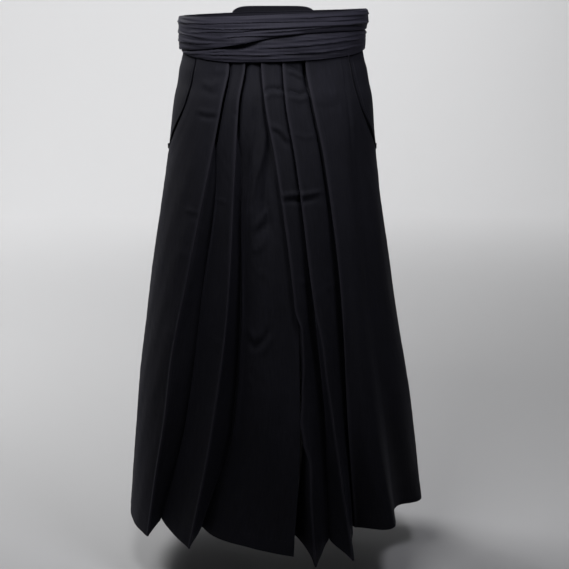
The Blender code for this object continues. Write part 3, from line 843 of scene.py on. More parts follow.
    @staticmethod
    def turn(before: np.ndarray, here: np.ndarray, after: np.ndarray,
             kind: Turn) -> tuple[np.ndarray, np.ndarray]:
        """Tip and across directions of a fold at each row."""
        into = here - before
        out = after - here
        into = into / np.linalg.norm(into, axis=1, keepdims=True)
        out = out / np.linalg.norm(out, axis=1, keepdims=True)
        tip = into - out
        tip = tip / np.maximum(np.linalg.norm(tip, axis=1, keepdims=True), 1e-9)
        across = np.stack([-tip[:, 1], tip[:, 0]], axis=1) * int(kind)
        return tip, across

    def strip(self, stops: Sequence[Stop], first: Optional[tuple], last: Optional[tuple],
              z: np.ndarray, warp: Warp) -> None:
        """Add the cloth between two folds, on a smooth line through its soft knots.

        Args:
            stops: the knots of the stretch, with the folds at its ends.
            first: tip and across directions of the fold it leaves, if there is one.
            last: the same for the fold it comes to.
            z: row heights.
            warp: the columns so far.
        """
        plans = [stop.plan(z) for stop in stops]
        reach = [np.linalg.norm(b - a, axis=1).max() for a, b in zip(plans[:-1], plans[1:])]
        counts = [max(3, math.ceil(r / self.step(stop.name))) for r, stop in zip(reach, stops[1:])]
        total, done = sum(counts), 0
        for i, count in enumerate(counts):
            here, there = stops[i], stops[i + 1]
            around = (stops[max(i - 1, 0)], here, there, stops[min(i + 2, len(stops) - 1)])
            begin = 0 if (i == 0 and first is None) else 1
            end = count - 1 if (i == len(counts) - 1 and last is not None) else count
            for k in range(begin, end + 1):
                t = k / count
                weights = self.blend(t)
                angle = sum(w * stop.angle for w, stop in zip(weights, around))
                inset = sum(w * stop.inset for w, stop in zip(weights, around))
                place = np.stack(FORM.plan(angle, inset, z), axis=-1)
                share = (done + k) / total
                if first is not None:
                    place = place + first[1] * self.fold_radius * (1 - share)
                if last is not None:
                    place = place - last[1] * self.fold_radius * share
                warp.add(place, there.name, here.drop + (there.drop - here.drop) * t ** there.fall)
            done += count

    def step(self, strip: str) -> float:
        """Column spacing on a strip."""
        if strip in HIDDEN:
            return self.hidden
        return self.fine if strip in S2 + S3 + S4 + S5 + ("back_bow",) else self.plain

    @staticmethod
    def blend(t: float) -> tuple[float, float, float, float]:
        """Catmull-Rom weights at t."""
        return (-0.5 * t + t**2 - 0.5 * t**3, 1 - 2.5 * t**2 + 1.5 * t**3,
                0.5 * t + 2 * t**2 - 1.5 * t**3, -0.5 * t**2 + 0.5 * t**3)

    def arc(self, here: np.ndarray, turn: tuple, stop: Stop, warp: Warp) -> None:
        """Add the rounded turn of a fold."""
        tip, across = turn
        for k in range(self.fold_steps):
            beta = math.pi * (k / (self.fold_steps - 1) - 0.5)
            place = here + self.fold_radius * (tip * math.cos(beta) + across * math.sin(beta))
            warp.add(place, stop.name + "_edge", stop.drop)

    def tuck_centre(self, warp: Warp, corner: str, z: np.ndarray) -> None:
        """Move the centre corner by its half seam and add the turned-in allowance."""
        first = corner in CENTRE_FIRST
        at = 0 if first else -1
        side = -self.half_seam if corner.endswith("right") else self.half_seam
        warp.plans[at] = warp.plans[at] + np.array([side, 0.0])
        end = self.tail_end(corner, z)
        bend = warp.plans[at] * (1 - self.tail_bend) + end * self.tail_bend
        for point in (bend, end):
            warp.add(point, "tail", self.seam_drops[corner], first)

    @staticmethod
    def wear_and_painted_highlight(names: Sequence[str], points: np.ndarray) -> np.ndarray:
        """Pressed shine on and beside the outer fold edges, also painted paler there as a highlight."""
        edge = np.array([name.endswith("_edge") and "_in" not in name for name in names], float)
        steps = np.linalg.norm(np.diff(points, axis=1), axis=2)
        place = np.concatenate([np.zeros((len(points), 1)), np.cumsum(steps, axis=1)], axis=1)
        wear_and_painted_highlight = np.zeros(points.shape[:2])
        for column in np.flatnonzero(edge):
            away = np.abs(place - place[:, column:column + 1])
            wear_and_painted_highlight = np.maximum(wear_and_painted_highlight, np.exp(-((away / 0.0032) ** 2)))
        return wear_and_painted_highlight * 0.55


@dataclass
class Panel:
    """One pleated panel with its creases and soft waves."""

    node: str
    knots: tuple[Knot, ...]
    creases: tuple[Crease, ...]
    flat: tuple[float, float]
    seed: int
    wall: float = 0.0010
    wave: float = 1.5               # mm, long soft waves
    ripple: float = 0.30            # mm, short ones
    puff: float = 6.0               # mm, swell of the hips just below the ties
    puff_at: float = -0.064
    puff_half: float = 0.024
    turn_up: float = 0.35           # mm, the hem's doubled cloth
    hold: float = 0.014             # a seam holds the cloth flat this far
    grid: Optional[Grid] = None

    def build(self, loom: Loom) -> bpy.types.Object:
        """Draw, crease and thicken the panel."""
        self.grid = loom.draw(self.knots, self.node, loom.heights(loom.top))
        self.crease()
        return shell(self.node + "_cloth", self.grid, self.wall)

    def crease(self) -> None:
        """Push the grid along its normals by its creases, waves, hip swell and hem turn-up."""
        grid = self.grid
        x, z = grid.points[..., 0], grid.points[..., 2]
        names = np.array(grid.strips)
        centre_first = names[0] == "tail"
        on_front = self.node.startswith("front")
        push = np.zeros(x.shape)
        for mark in (*self.creases, *(cut for cut in UNDERCUTS if cut.on_front == on_front)):
            push += np.where(np.isin(names, mark.strips)[None, :], mark.field(x, z), 0.0)
        across = np.broadcast_to(grid.widths()[None, :x.shape[1]], x.shape)
        free = smooth(-0.06, -0.30, z) * (~np.char.endswith(names, "_edge"))[None, :]
        push += free * self.wave * MM * soft_noise(across, z, self.seed, 0.085, 4.5)
        push += free * self.ripple * MM * soft_noise(across, z, self.seed + 1, 0.022, 2.0)
        push *= self.seam_hold(names, across)
        from_side = across[:, -1:] - across if centre_first else across
        push = np.where(z < TACK, push * smooth(0.0, 0.012, from_side), push)
        push += self.hip_swell(x, z)
        hem = grid.lengths()[-1:, :] - grid.lengths()
        push += self.turn_up * MM * smooth(0.030, 0.026, hem)
        grid.points = grid.points + grid.normals() * push[..., None]
        side = -1 if centre_first else 0
        grid.points[:, side, 1] += -SIDE_GAP if on_front else SIDE_GAP

    def hip_swell(self, x: np.ndarray, z: np.ndarray) -> np.ndarray:
        """Swell of the flanks where the cloth comes out from under the ties."""
        sideways = smooth(0.0, 0.9, np.abs(self.grid.normals()[..., 0]))
        flank = smooth(0.060, 0.150, np.abs(x)) * sideways
        tie_edge = Ties().edge("inner_low", np.degrees(np.arctan2(x, -self.grid.points[..., 1])))
        swell = np.exp(-(((z - self.puff_at) / self.puff_half) ** 2))
        return self.puff * MM * flank * swell * smooth(-0.001, 0.012, tie_edge - z)

    def seam_hold(self, names: np.ndarray, across: np.ndarray) -> np.ndarray:
        """Share of the creasing that is left near the centre seam, which holds the cloth."""
        tail = np.flatnonzero(names == "tail")
        corner = tail[-1] + 1 if tail[0] == 0 else tail[0] - 1
        away = np.abs(across - across[:, corner:corner + 1])
        on_tail = np.isin(np.arange(len(names)), tail)[None, :]
        return np.where(on_tail, 0.0, smooth(0.0, self.hold, away))

    def dress(self, piece: bpy.types.Object, material: bpy.types.Material) -> None:
        declare(piece, material, self.node)


@dataclass
class InnerLeg:
    """A leg's inner panel, from the front seam back to the back seam below the crotch."""

    leg: str
    bow: tuple[float, ...]
    flat: tuple[float, float]
    seed: int
    wall: float = 0.0010
    wave: float = 2.4               # mm
    steps: int = 90
    gap: float = 0.0003

    def build(self, loom: Loom) -> bpy.types.Object:
        """Draw and thicken the panel."""
        z = loom.heights(CROTCH)
        start = loom.tail_end("front_" + self.leg, z) + np.array([0.0, self.gap])
        end = loom.tail_end("back_" + self.leg, z) - np.array([0.0, self.gap])
        bow = level(self.bow, z)
        t = np.linspace(0.0, 1.0, self.steps + 1)
        plan = start[:, None, :] * (1 - t)[None, :, None] + end[:, None, :] * t[None, :, None]
        plan[..., 0] += bow[:, None] * (np.sin(math.pi * t) ** 2)[None, :]
        slack = smooth(0.0, 0.18, t) * smooth(0.0, 0.18, 1 - t)
        free = smooth(CROTCH, CROTCH - 0.12, z)[:, None] * slack[None, :]
        side = 1 if self.leg == "right" else -1
        waves = 1 + soft_noise(plan[..., 1], z[:, None], self.seed, 0.09, 5.0)
        plan[..., 0] -= side * self.wave * MM * free * waves
        drops = loom.seam_drops["front_" + self.leg] * (1 - t) + loom.seam_drops["back_" + self.leg] * t
        points = np.concatenate([plan, loom.hang(z, drops)[..., None]], axis=2)
        if self.leg == "left":
            points = points[:, ::-1]
        grid = Grid(points, ["inner"] * points.shape[1], np.zeros(points.shape[:2]))
        return shell(f"inner_leg_{self.leg}_cloth", grid, self.wall)

    def dress(self, piece: bpy.types.Object, material: bpy.types.Material) -> None:
        declare(piece, material, "inner_leg_" + self.leg)


# ---- ties and board -----------------------------------------------------------------------
@dataclass(frozen=True)
class Lap:
    """A lapped or crushed line along a tie: its route as (degrees, mm high), lift and fall."""

    route: tuple[tuple[float, float], ...]
    lift: float
    above: float = 7.0
    below: float = 1.2

    def field(self, degrees: np.ndarray, z: np.ndarray) -> np.ndarray:
        """Outward lift at points of the tie, in metres: a slow rise and then a short fall."""
        at = np.array(self.route, float)
        line = np.interp(degrees, at[:, 0], at[:, 1]) * MM
        away = z - line
        rise = np.exp(-np.clip(away, 0, None) / (self.above * MM)) * (away >= 0)
        fall = smooth(-self.below * MM, 0.0, away) * (away < 0)
        span = at[-1, 0] - at[0, 0]
        start = smooth(0.0, 0.16, (degrees - at[0, 0]) / span)
        end = smooth(0.0, 0.16, (at[-1, 0] - degrees) / span)
        return self.lift * MM * (rise + fall) * (start * end)


@dataclass(frozen=True)
class Edges:
    """Edges of the wraps at one place round the waist: mm high at so many degrees."""

    degrees: float
    inner_low: float
    outer_low: float
    top: float


@dataclass(frozen=True)
class Wrap:
    """One wound tie: its node and flat cut, its lower edge and lines, and how it lies."""

    node: str
    flat: tuple[float, float]
    low: str
    out: float
    laps: tuple[Lap, ...]
    seed: int
    sink: float                     # deepest that a wrinkle may go
    kick: float = 0.0               # how far the lower edge stands off over the tuck
    inner: bool = False


@dataclass
class Ties:
    """The two wound ties round the waist."""

    edges: tuple[Edges, ...] = (
        Edges(-180, -38, -6, 43), Edges(-135, -34, -20, 39), Edges(-90, -29, -27, 36),
        Edges(-50, -41, -24, 36), Edges(-25, -46, -16, 37), Edges(0, -45, -1, 40),
        Edges(25, -42, 8, 43), Edges(60, -34, 11, 47), Edges(90, -25, 12, 50),
        Edges(135, -32, 4, 47), Edges(180, -38, -6, 43))
    clear: float = 0.0024
    ease: float = 0.0010
    pitch: float = 0.0023
    air: float = 0.0006
    wall: float = 0.0018
    inner_top: float = 0.030        # hidden level edge of the inner wrap
    tuck_in: float = 0.0034
    tuck_at: float = -18.0          # degrees: where the inner wrap is drawn in
    tuck_half: float = 9.0
    tuck_below: float = 0.004       # how far under the outer wrap's edge that is
    tuck_tall: float = 0.006
    kick_at: float = -19.0          # degrees: where the outer wrap stands off
    kick_half: float = 10.0
    board_from: float = 118.0       # degrees: the board presses the wraps from here
    board_to: float = 136.0         # and fully from here
    columns: int = 420
    rows: int = 54
    upper_laps: tuple[Lap, ...] = (
        Lap(((-34, -2), (-16, 2), (2, 3), (22, 8)), 2.6, 5.0),
        Lap(((-60, 6), (-40, 9), (-24, 9), (-8, 13)), 1.8, 5.0),
        Lap(((-150, 28), (-80, 25), (-45, 24), (-10, 27), (30, 30)), 1.9, 6.0),
        Lap(((-70, 17), (-30, 14), (0, 16), (28, 20), (70, 25), (120, 25)), 2.2, 8.0),
        Lap(((-14, 7), (10, 12), (40, 20), (80, 26)), 1.7, 5.0),
        Lap(((5, 33), (40, 38), (85, 41), (140, 38)), 1.7, 6.0),
        Lap(((-120, 8), (-85, 6), (-55, 1), (-36, -6)), 1.6, 5.0),
        Lap(((-110, -8), (-80, -11), (-48, -13), (-30, -11)), 1.7, 5.0),
        Lap(((24, 17), (60, 22), (100, 24)), 1.5, 4.0),
        Lap(((30, 28), (66, 33), (110, 34)), 1.4, 4.0),
        Lap(((150, 30), (172, 26)), 1.0, 6.0),
    )
    lower_laps: tuple[Lap, ...] = (
        Lap(((-100, -32), (-50, -33), (-10, -33), (30, -28), (80, -14)), 1.6, 6.0),
        Lap(((-14, -22), (15, -17), (50, -8), (90, -2)), 1.7, 6.0),
        Lap(((6, -9), (30, -4), (70, 4), (110, 4)), 1.4, 5.0),
        Lap(((-60, -38), (-20, -41), (20, -38)), 1.0, 4.0),
        Lap(((-44, -28), (-26, -27), (-6, -24)), 1.2, 4.0),
    )

    def edge(self, name: str, degrees: np.ndarray) -> np.ndarray:
        """Height of an edge of the wraps, in metres."""
        at = np.array([row.degrees for row in self.edges], float)
        return read_table(-at, [getattr(row, name) for row in self.edges], -degrees) * MM

    def ring(self, degrees: np.ndarray, out: np.ndarray) -> tuple[np.ndarray, np.ndarray]:
        """Plan ring that stands out from the panels' form."""
        angle = np.radians(degrees)
        back = np.cos(angle) < 0
        half = FORM.half_left[0] * MM + out
        depth = np.where(back, FORM.back_depth[0], FORM.front_depth[0]) * MM + out
        return half * np.sin(angle), -depth * np.cos(angle)

    def wrinkles(self, wrap: Wrap, degrees: np.ndarray, z: np.ndarray) -> np.ndarray:
        """Lift of a wrap's laps and of the fine folds that run round it, in metres."""
        laps = sum(lap.field(np.broadcast_to(degrees, z.shape), z) for lap in wrap.laps)
        angle, seed = np.radians(degrees), wrap.seed
        arc = angle * 0.15
        slope = z + 0.010 * np.sin(angle + seed) + 0.006 * np.sin(2 * angle + 2 * seed)
        folds = soft_noise(arc, slope, seed, 0.22, 0.085)
        fine = soft_noise(arc, slope, seed + 5, 0.11, 0.070)
        pinched = 1 - np.abs(np.clip(soft_noise(arc, slope, seed + 9, 0.26, 0.080), -1.4, 1.4))
        return 1.2 * laps + 0.85 * MM * folds + 0.28 * MM * fine + 0.60 * MM * pinched

    def band(self, wrap: Wrap) -> bpy.types.Object:
        """Build one wrap.

        The inner wrap is drawn in at the tuck and lies flat under the outer one, and both
        lie flat under the board.
        """
        degrees = np.linspace(-180, 180, self.columns, endpoint=False)[None, :]
        share = np.linspace(0.0, 1.0, self.rows)[:, None]
        bottom = self.edge(wrap.low, degrees)
        upper = np.full_like(bottom, self.inner_top) if wrap.inner else self.edge("top", degrees)
        z = upper + (bottom - upper) * share
        lift = self.wrinkles(wrap, degrees, z)
        belly = 0.0016 * np.sin(math.pi * share) ** 0.6
        roll = -0.0012 * smooth(0.05, 0.0, share) - 0.0004 * smooth(0.95, 1.0, share)
        if wrap.inner:
            over = z - self.edge("outer_low", degrees)
            pinch = (np.exp(-(((degrees - self.tuck_at) / self.tuck_half) ** 2))
                     * np.exp(-(((over + self.tuck_below) / self.tuck_tall) ** 2)))
            cover = smooth(-0.006, -0.0005, over)
            lift = (lift - self.tuck_in * pinch) * (1 - cover) - self.air * cover
            belly = belly * (1 - cover)
            roll = 0.4 * roll * (1 - cover)
        beneath_board = smooth(self.board_from, self.board_to, np.abs(degrees))
        lift = lift * (1 - 0.9 * beneath_board)
        belly = belly * (1 - 0.7 * beneath_board)
        kicked = np.exp(-(((degrees - self.kick_at) / self.kick_half) ** 2))
        stand_off = wrap.kick * kicked * smooth(0.66, 1.0, share)
        out = wrap.out + lift.clip(-wrap.sink, None) + belly + roll + stand_off
        x, y = self.ring(degrees, out)
        points = np.stack([x, y, np.broadcast_to(z, x.shape)], axis=-1)
        # raised laps are painted paler as a highlight; the lower edge is paler from rubbing
        rubbed = smooth(0.97, 1.0, np.broadcast_to(share, x.shape))
        wear_and_painted_highlight = 0.35 * np.clip(lift / (1.6 * MM), 0, 1) + 0.25 * rubbed
        name = wrap.node + "_cloth"
        return shell(name, Grid(points, [name] * self.columns, wear_and_painted_highlight, closed=True), self.wall)

    def build(self, material: bpy.types.Material) -> list[bpy.types.Object]:
        first = self.clear + self.ease
        second = first + self.pitch + self.air
        wraps = (Wrap("front_ties", (0.94, 0.076), "inner_low", first, self.lower_laps, 3,
                      sink=self.tuck_in, inner=True),
                 Wrap("back_ties", (0.97, 0.052), "outer_low", second, self.upper_laps, 8,
                      sink=self.air, kick=0.0075))
        pieces = []
        for wrap in wraps:
            piece = self.band(wrap)
            declare(piece, material, wrap.node)
            pieces.append(piece)
        return pieces


@dataclass
class BackBoard:
    """The stiff trapezoid board at the small of the back, covered in the same cloth."""

    bottom: float = -0.046
    top: float = 0.054
    half_bottom: float = 0.118
    half_top: float = 0.082
    corner: float = 0.010
    wall: float = 0.0040
    out: float = 0.0098
    puff: float = 0.0009            # how far the cover stands off the middle of the board
    thread_out: float = 0.0010
    rim_points: int = 24            # points of the stitch route on each side
    columns: int = 96
    rows: int = 44

    def middle(self, share: float, t: float, out: float) -> tuple[float, float, float]:
        """Point of the board's middle, out of the ties' form.

        Args:
            share: across, from 1 on the wearer's left to -1.
            t: down, from 0 at the top to 1.
            out: distance from the form.

        Returns:
            The point.
        """
        half = FORM.half_left[0] * MM + out
        depth = FORM.back_depth[0] * MM + out
        reach = self.half_top + (self.half_bottom - self.half_top) * t
        angle = math.pi - math.asin(share * reach / half)
        z = self.top + (self.bottom - self.top) * t - self.corner * (1 - t) ** 2 * abs(share) ** 8
        return (half * math.sin(angle), -depth * math.cos(angle), z)

    def build(self) -> bpy.types.Object:
        """Build the covered board."""
        points = np.zeros((self.rows, self.columns, 3))
        for r in range(self.rows):
            for c in range(self.columns):
                t = r / (self.rows - 1)
                share = 1 - 2 * c / (self.columns - 1)
                rim = min(1 - abs(share), t, 1 - t)
                puff = self.puff * (1 - math.exp(-rim / 0.05))
                points[r, c] = self.middle(share, t, self.out + puff)
        wear_and_painted_highlight = np.zeros(points.shape[:2])
        wear_and_painted_highlight[[0, -1], :] = 0.6
        wear_and_painted_highlight[:, [0, -1]] = 0.6
        piece = shell("back_board_cloth", Grid(points, ["board"] * self.columns, wear_and_painted_highlight), self.wall)
        bevel = piece.modifiers.new("edge", "BEVEL")
        bevel.width = 0.0012
        bevel.segments = 3
        bevel.limit_method = "ANGLE"
        bevel.angle_limit = math.radians(50)
        return piece

    def rim(self, inset: float) -> np.ndarray:
        """Closed route inside the board's edge, on its outer face."""
        route = []
        side, top, foot = 1 - inset, 2 * inset, 1 - inset
        corners = ((side, top), (-side, top), (-side, foot), (side, foot))
        out = self.out + self.wall / 2 + self.thread_out
        for (s0, t0), (s1, t1) in zip(corners, corners[1:] + corners[:1]):
            for f in np.arange(self.rim_points) / self.rim_points:
                route.append(self.middle(s0 + (s1 - s0) * f, t0 + (t1 - t0) * f, out))
        return np.array(route)

    def dress(self, piece: bpy.types.Object, material: bpy.types.Material) -> None:
        declare(piece, material, "back_board")


# ---- stitching ----------------------------------------------------------------------------
@dataclass(frozen=True)
class StitchTree:
    """Geometry nodes that lay stitches along a route and wind tacks."""

    stitch: float = 0.0026
    pitch: float = 0.0036
    thread: float = 0.00032

    def tree(self, material: bpy.types.Material) -> bpy.types.NodeTree:
        """Build the node group."""
        group = bpy.data.node_groups.new("stitch_run", "GeometryNodeTree")
        face = group.interface
        face.new_socket("Geometry", in_out="INPUT", socket_type="NodeSocketGeometry")
        for name in ("Pitch", "Stitch Length", "Thread Radius"):
            face.new_socket(name, in_out="INPUT", socket_type="NodeSocketFloat")
        face.new_socket("Geometry", in_out="OUTPUT", socket_type="NodeSocketGeometry")
        source = add(group, "NodeGroupInput")
        route = add(group, "GeometryNodeMeshToCurve", links={0: source.outputs["Geometry"]})
        even = add(group, "GeometryNodeResampleCurve", {"mode": "LENGTH"},
                   {"Curve": route.outputs[0], "Length": source.outputs["Pitch"]})
        tangent = add(group, "GeometryNodeInputTangent")
        turn = add(group, "FunctionNodeAlignRotationToVector", {"axis": "X"}, {"Vector": tangent.outputs[0]})
        half = add(group, "ShaderNodeMath", {"operation": "MULTIPLY", 1: 0.5},
                   {0: source.outputs["Stitch Length"]})
        minus = add(group, "ShaderNodeMath", {"operation": "MULTIPLY", 1: -1.0}, {0: half.outputs[0]})
        begin = add(group, "ShaderNodeCombineXYZ", links={"X": minus.outputs[0]})
        finish = add(group, "ShaderNodeCombineXYZ", links={"X": half.outputs[0]})
        lift = add(group, "ShaderNodeCombineXYZ", links={"Z": source.outputs["Thread Radius"]})
        bar = add(group, "GeometryNodeCurveQuadraticBezier", {"Resolution": 4},
                  {"Start": begin.outputs[0], "Middle": lift.outputs[0], "End": finish.outputs[0]})
        round_ = add(group, "GeometryNodeCurvePrimitiveCircle", {"Resolution": 6},
                     {"Radius": source.outputs["Thread Radius"]})
        solid = add(group, "GeometryNodeCurveToMesh", {"Fill Caps": True},
                    {"Curve": bar.outputs[0], "Profile Curve": round_.outputs[0]})
        laid = add(group, "GeometryNodeInstanceOnPoints", links={
            "Points": even.outputs[0], "Instance": solid.outputs[0], "Rotation": turn.outputs[0]})
        real = add(group, "GeometryNodeRealizeInstances", links={0: laid.outputs[0]})
        shade = add(group, "GeometryNodeSetShadeSmooth", links={0: real.outputs[0]})
        dyed = add(group, "GeometryNodeSetMaterial", {"Material": material},
                   {"Geometry": shade.outputs[0]})
        target = add(group, "NodeGroupOutput")
        group.links.new(dyed.outputs[0], target.inputs[0])
        return group

    def run(self, name: str, routes: Sequence[bpy.types.Object], group: bpy.types.NodeTree,
            material: bpy.types.Material, **sizes: float) -> bpy.types.Object:
        """Bake stitches along routes into one piece.

        Args:
            name: name of the piece.
            routes: edge meshes to follow; they are removed.
            group: the stitch tree.
            material: thread.
            **sizes: pitch, stitch or thread in metres, where they differ from the usual.

        Returns:
            The piece.
        """
        values = {"Pitch": sizes.get("pitch", self.pitch), "Stitch Length": sizes.get("stitch", self.stitch),
                  "Thread Radius": sizes.get("thread", self.thread)}
        keys = {item.name: item.identifier for item in group.interface.items_tree if item.in_out == "INPUT"}
        joined = bmesh.new()
        for route in routes:
            modifier = route.modifiers.new("stitches", "NODES")
            modifier.node_group = group
            for label, value in values.items():
                modifier[keys[label]] = value
            bpy.context.view_layer.update()
            graph = bpy.context.evaluated_depsgraph_get()
            baked = bpy.data.meshes.new_from_object(route.evaluated_get(graph))
            joined.from_mesh(baked)
            bpy.data.meshes.remove(baked)
            bpy.data.objects.remove(route, do_unlink=True)
        mesh = bpy.data.meshes.new(name)
        joined.to_mesh(mesh)
        joined.free()
        mesh.shade_smooth()
        mesh.materials.clear()
        piece = bpy.data.objects.new(name, mesh)
        bpy.context.scene.collection.objects.link(piece)
        declare(piece, material)
        return piece


@dataclass
class Stitching:
    """Every visible stitch run and the side tacks."""

    runs: StitchTree = field(default_factory=StitchTree)
    edge_in: float = 0.005          # top stitching, in from the side edge
    slit_out: float = 0.0007        # how far the routes lie off the middle of the cloth
    hem_out: float = 0.00045
    hem_up: float = 0.026
    slit_past: float = 0.004        # the route starts and ends this far below its marks
    tack_end: float = 0.001
    tack_turns: int = 16
    tack_facets: int = 8
    tack_wide: float = 0.0012
    tack_deep: float = 0.0035
    tack_lean: float = 0.0020       # how far it leans in, off the solid's middle

    def slit_route(self, name: str, grid: Grid, first: bool) -> bpy.types.Object:
        """Route of the top stitching beside a side opening."""
        widths = grid.widths()
        target = self.edge_in if first else widths[-1] - self.edge_in
        column = int(np.argmin(np.abs(widths - target)))
        z = grid.points[:, column, 2]
        rows = (z < SASH - self.slit_past) & (z > TACK - self.slit_past)
        points = grid.points[rows, column] + grid.normals()[rows, column] * self.slit_out
        return polyline(name, points)

    def hem_route(self, name: str, grid: Grid) -> bpy.types.Object:
        """Route of the hem stitches, which just show on the outer face."""
        lengths = grid.lengths()
        keep = [c for c, label in enumerate(grid.strips) if label != "tail"]
        row = int(np.argmin(np.abs(lengths[-1].mean() - lengths.mean(axis=1) - self.hem_up)))
        points = grid.points[row, keep] + grid.normals()[row, keep] * self.hem_out
        return polyline(name, points)

    def tack(self, node: str, group: bpy.types.NodeTree, thread: bpy.types.Material) -> bpy.types.Object:
        """Wind the bar of thread at the foot of a side opening."""
        low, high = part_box(node)
        centre = (low + high) / 2
        lean = math.copysign(self.tack_lean, centre.x)
        steps = self.tack_turns * self.tack_facets
        bottom, tall = low.z + self.tack_end, high.z - low.z - 2 * self.tack_end
        points = []
        for k in range(steps + 1):
            angle = 2 * math.pi * k / self.tack_facets
            x = centre.x - lean + self.tack_wide * math.cos(angle)
            y = centre.y + self.tack_deep * math.sin(angle)
            points.append((x, y, bottom + tall * k / steps))
        route = polyline(node + "_route", np.array(points))
        piece = self.runs.run(node + "_thread", [route], group, thread,
                              pitch=0.0012, stitch=0.0018, thread=0.00045)
        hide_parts(node)
        return piece

    def build(self, panels: dict[str, Panel], board: BackBoard,
              thread: bpy.types.Material) -> list[bpy.types.Object]:
        """Build all the stitching."""
        group = self.runs.tree(thread)
        starts = {"front_right": True, "front_left": False, "back_left": True, "back_right": False}
        slits = [self.slit_route("route_" + n, panels[n].grid, first) for n, first in starts.items()]
        rim = [polyline("route_rim", board.rim(0.035), closed=True)]
        hems = [self.hem_route("route_hem_" + n, panel.grid) for n, panel in panels.items()]
        return [
            self.runs.run("side_opening_stitches", slits, group, thread),
            self.runs.run("back_board_stitches", rim, group, thread),
            self.runs.run("hem_stitches", hems, group, thread,
                          pitch=0.009, stitch=0.0012, thread=0.00025),
            *(self.tack(node, group, thread) for node in ("side_tack_right", "side_tack_left")),
        ]


# ---- studio -------------------------------------------------------------------------------
@dataclass(frozen=True)
class Softbox:
    """An area lamp; a grid on its front narrows its spread."""

    name: str
    at: tuple[float, float, float]
    aim: tuple[float, float, float]
    size: tuple[float, float]
    watts: float
    tint: str = "#ffffff"
    spread_deg: float = 180.0


SOFTBOXES = (
    # the key is close, high and left, and its grid keeps it off the hem
    Softbox("key_softbox", (-0.24, -0.58, 0.56), (-0.04, -0.1, 0.0), (0.40, 0.26), 2.5, spread_deg=96.0),
    Softbox("fill_softbox", (0.46, -0.62, 0.50), (0.16, -0.12, 0.0), (0.30, 0.30), 4.2, "#f8f8ff"),
    # the sweep is palest at the top left and falls off to the right
    Softbox("backdrop_wash", (-2.6, 3.0, 2.5), (-1.2, 5.0, 0.0), (1.6, 1.6), 138.0),
    Softbox("backdrop_top", (1.0, 4.4, 2.0), (1.1, 5.5, 0.0), (3.4, 0.5), 64.0),
    Softbox("floor_wash", (-1.5, 1.0, 0.9), (-1.0, 0.4, -1.07), (0.9, 0.7), 27.0),
)


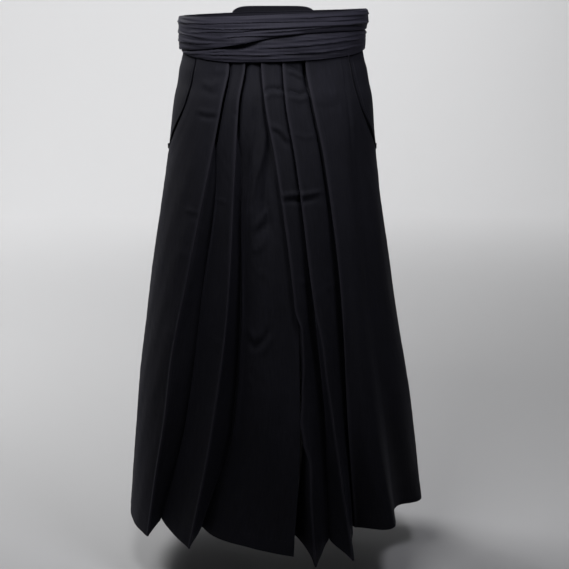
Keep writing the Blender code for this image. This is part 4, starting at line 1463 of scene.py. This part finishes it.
@dataclass(frozen=True)
class Studio:
    """Pale seamless sweep, soft light from above and the camera."""

    focal_mm: float = 79.1
    sensor_mm: float = 36.0
    distance: float = 2.49
    aside: float = 0.0225
    height: float = 0.083
    tilt_deg: float = 13.2
    floor_gap: float = 0.075

    def camera(self) -> None:
        """Stand the camera a little above the ties, looking down at the hem."""
        data = bpy.data.cameras.new("camera")
        data.lens = self.focal_mm
        data.sensor_width = self.sensor_mm
        data.dof.use_dof = False
        eye = bpy.data.objects.new("camera", data)
        eye.location = (self.aside, -self.distance, self.height)
        eye.rotation_euler = (math.radians(90 - self.tilt_deg), 0.0, 0.0)
        bpy.context.scene.collection.objects.link(eye)
        bpy.context.scene.camera = eye

    def sweep(self) -> None:
        """A floor that curves up into a backdrop."""
        floor_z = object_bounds()[0][2] - self.floor_gap
        radius, back, wide, front, high = 1.6, 5.6, 9.0, -9.0, 7.0
        profile = [(front, floor_z)]
        for k in range(25):
            angle = math.pi / 2 * k / 24
            y = back - radius + radius * math.sin(angle)
            profile.append((y, floor_z + radius - radius * math.cos(angle)))
        profile.append((back, floor_z + high))
        verts = [(side * wide, y, z) for y, z in profile for side in (-1, 1)]
        faces = [(2 * i, 2 * i + 1, 2 * i + 3, 2 * i + 2) for i in range(len(profile) - 1)]
        mesh = bpy.data.meshes.new("sweep")
        mesh.from_pydata(verts, [], faces)
        mesh.shade_smooth()
        sweep = bpy.data.objects.new("sweep", mesh)
        bpy.context.scene.collection.objects.link(sweep)
        material = bpy.data.materials.new("matt_pale_paper")
        material.use_nodes = True
        shader = material.node_tree.nodes["Principled BSDF"]
        shader.inputs["Base Color"].default_value = srgb("#c9c9ca")
        shader.inputs["Roughness"].default_value = 0.95
        shader.inputs["Specular IOR Level"].default_value = 0.1
        mesh.materials.append(material)
        sweep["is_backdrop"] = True

    def lights(self) -> None:
        """Hang the lamps, out of the camera's sight, in a nearly dark room."""
        for box in SOFTBOXES:
            data = bpy.data.lights.new(box.name, "AREA")
            data.shape = "RECTANGLE"
            data.size, data.size_y = box.size
            data.energy = box.watts
            data.color = srgb(box.tint)[:3]
            data.spread = math.radians(box.spread_deg)
            lamp = bpy.data.objects.new(box.name, data)
            lamp.location = box.at
            aimed = Vector(box.aim) - Vector(box.at)
            lamp.rotation_euler = aimed.to_track_quat("-Z", "Y").to_euler()
            lamp.visible_camera = False
            bpy.context.scene.collection.objects.link(lamp)
        world = bpy.data.worlds.new("studio_air")
        world.use_nodes = True
        air = world.node_tree.nodes["Background"]
        air.inputs["Color"].default_value = srgb("#dcdde0")
        air.inputs["Strength"].default_value = 0.035
        bpy.context.scene.world = world

    def build(self) -> None:
        """Set up the studio."""
        view = bpy.context.scene.view_settings
        view.view_transform = "Standard"
        view.look = "None"
        self.camera()
        self.sweep()
        self.lights()


def main() -> None:
    """Build every piece in order and report it."""
    logging.basicConfig(level=logging.INFO, format="%(message)s")
    pleated = WovenCloth("blue_black_suiting_woven_and_pressed", "#141419", "#19191f", "#2a2930").make()
    inner = WovenCloth("blue_black_suiting_unpressed", "#121217", "#17171c", "#1f1f25").make()
    tie = WovenCloth("blue_black_tie_cloth_folded", "#1a1a20", "#212028", "#32313c",
                     roughness=0.72, sheen=0.10).make()
    covered = WovenCloth("blue_black_cloth_over_board", "#15151a", "#1a1a20", "#2a2930").make()
    thread = SewingThread().make()

    loom = Loom(top=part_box("front_left")[1].z)
    front_cut, back_cut = (0.62, 1.03), (0.52, 1.03)
    panels = {panel.node: panel for panel in (
        Panel("front_right", FRONT_RIGHT, FRONT_CREASES, front_cut, 11),
        Panel("front_left", FRONT_LEFT, FRONT_CREASES, front_cut, 12),
        Panel("back_left", BACK_LEFT, BACK_CREASES, back_cut, 13),
        Panel("back_right", BACK_RIGHT, BACK_CREASES, back_cut, 14))}
    pieces = []
    for panel in panels.values():
        pieces.append(panel.build(loom))
        panel.dress(pieces[-1], pleated)
    for leg in (InnerLeg("right", (0, 0, 0, 0, -14, -22), (0.44, 0.47), 21),
                InnerLeg("left", (0, 0, 0, 0, 8, 14), (0.40, 0.46), 22)):
        pieces.append(leg.build(loom))
        leg.dress(pieces[-1], inner)
    pieces += Ties().build(tie)
    board = BackBoard()
    pieces.append(board.build())
    board.dress(pieces[-1], covered)
    pieces += Stitching().build(panels, board, thread)
    for piece in pieces:
        LOG.info("%s: %d faces", piece.name, len(piece.data.polygons))
    Studio().build()


if __name__ == "__main__":
    main()
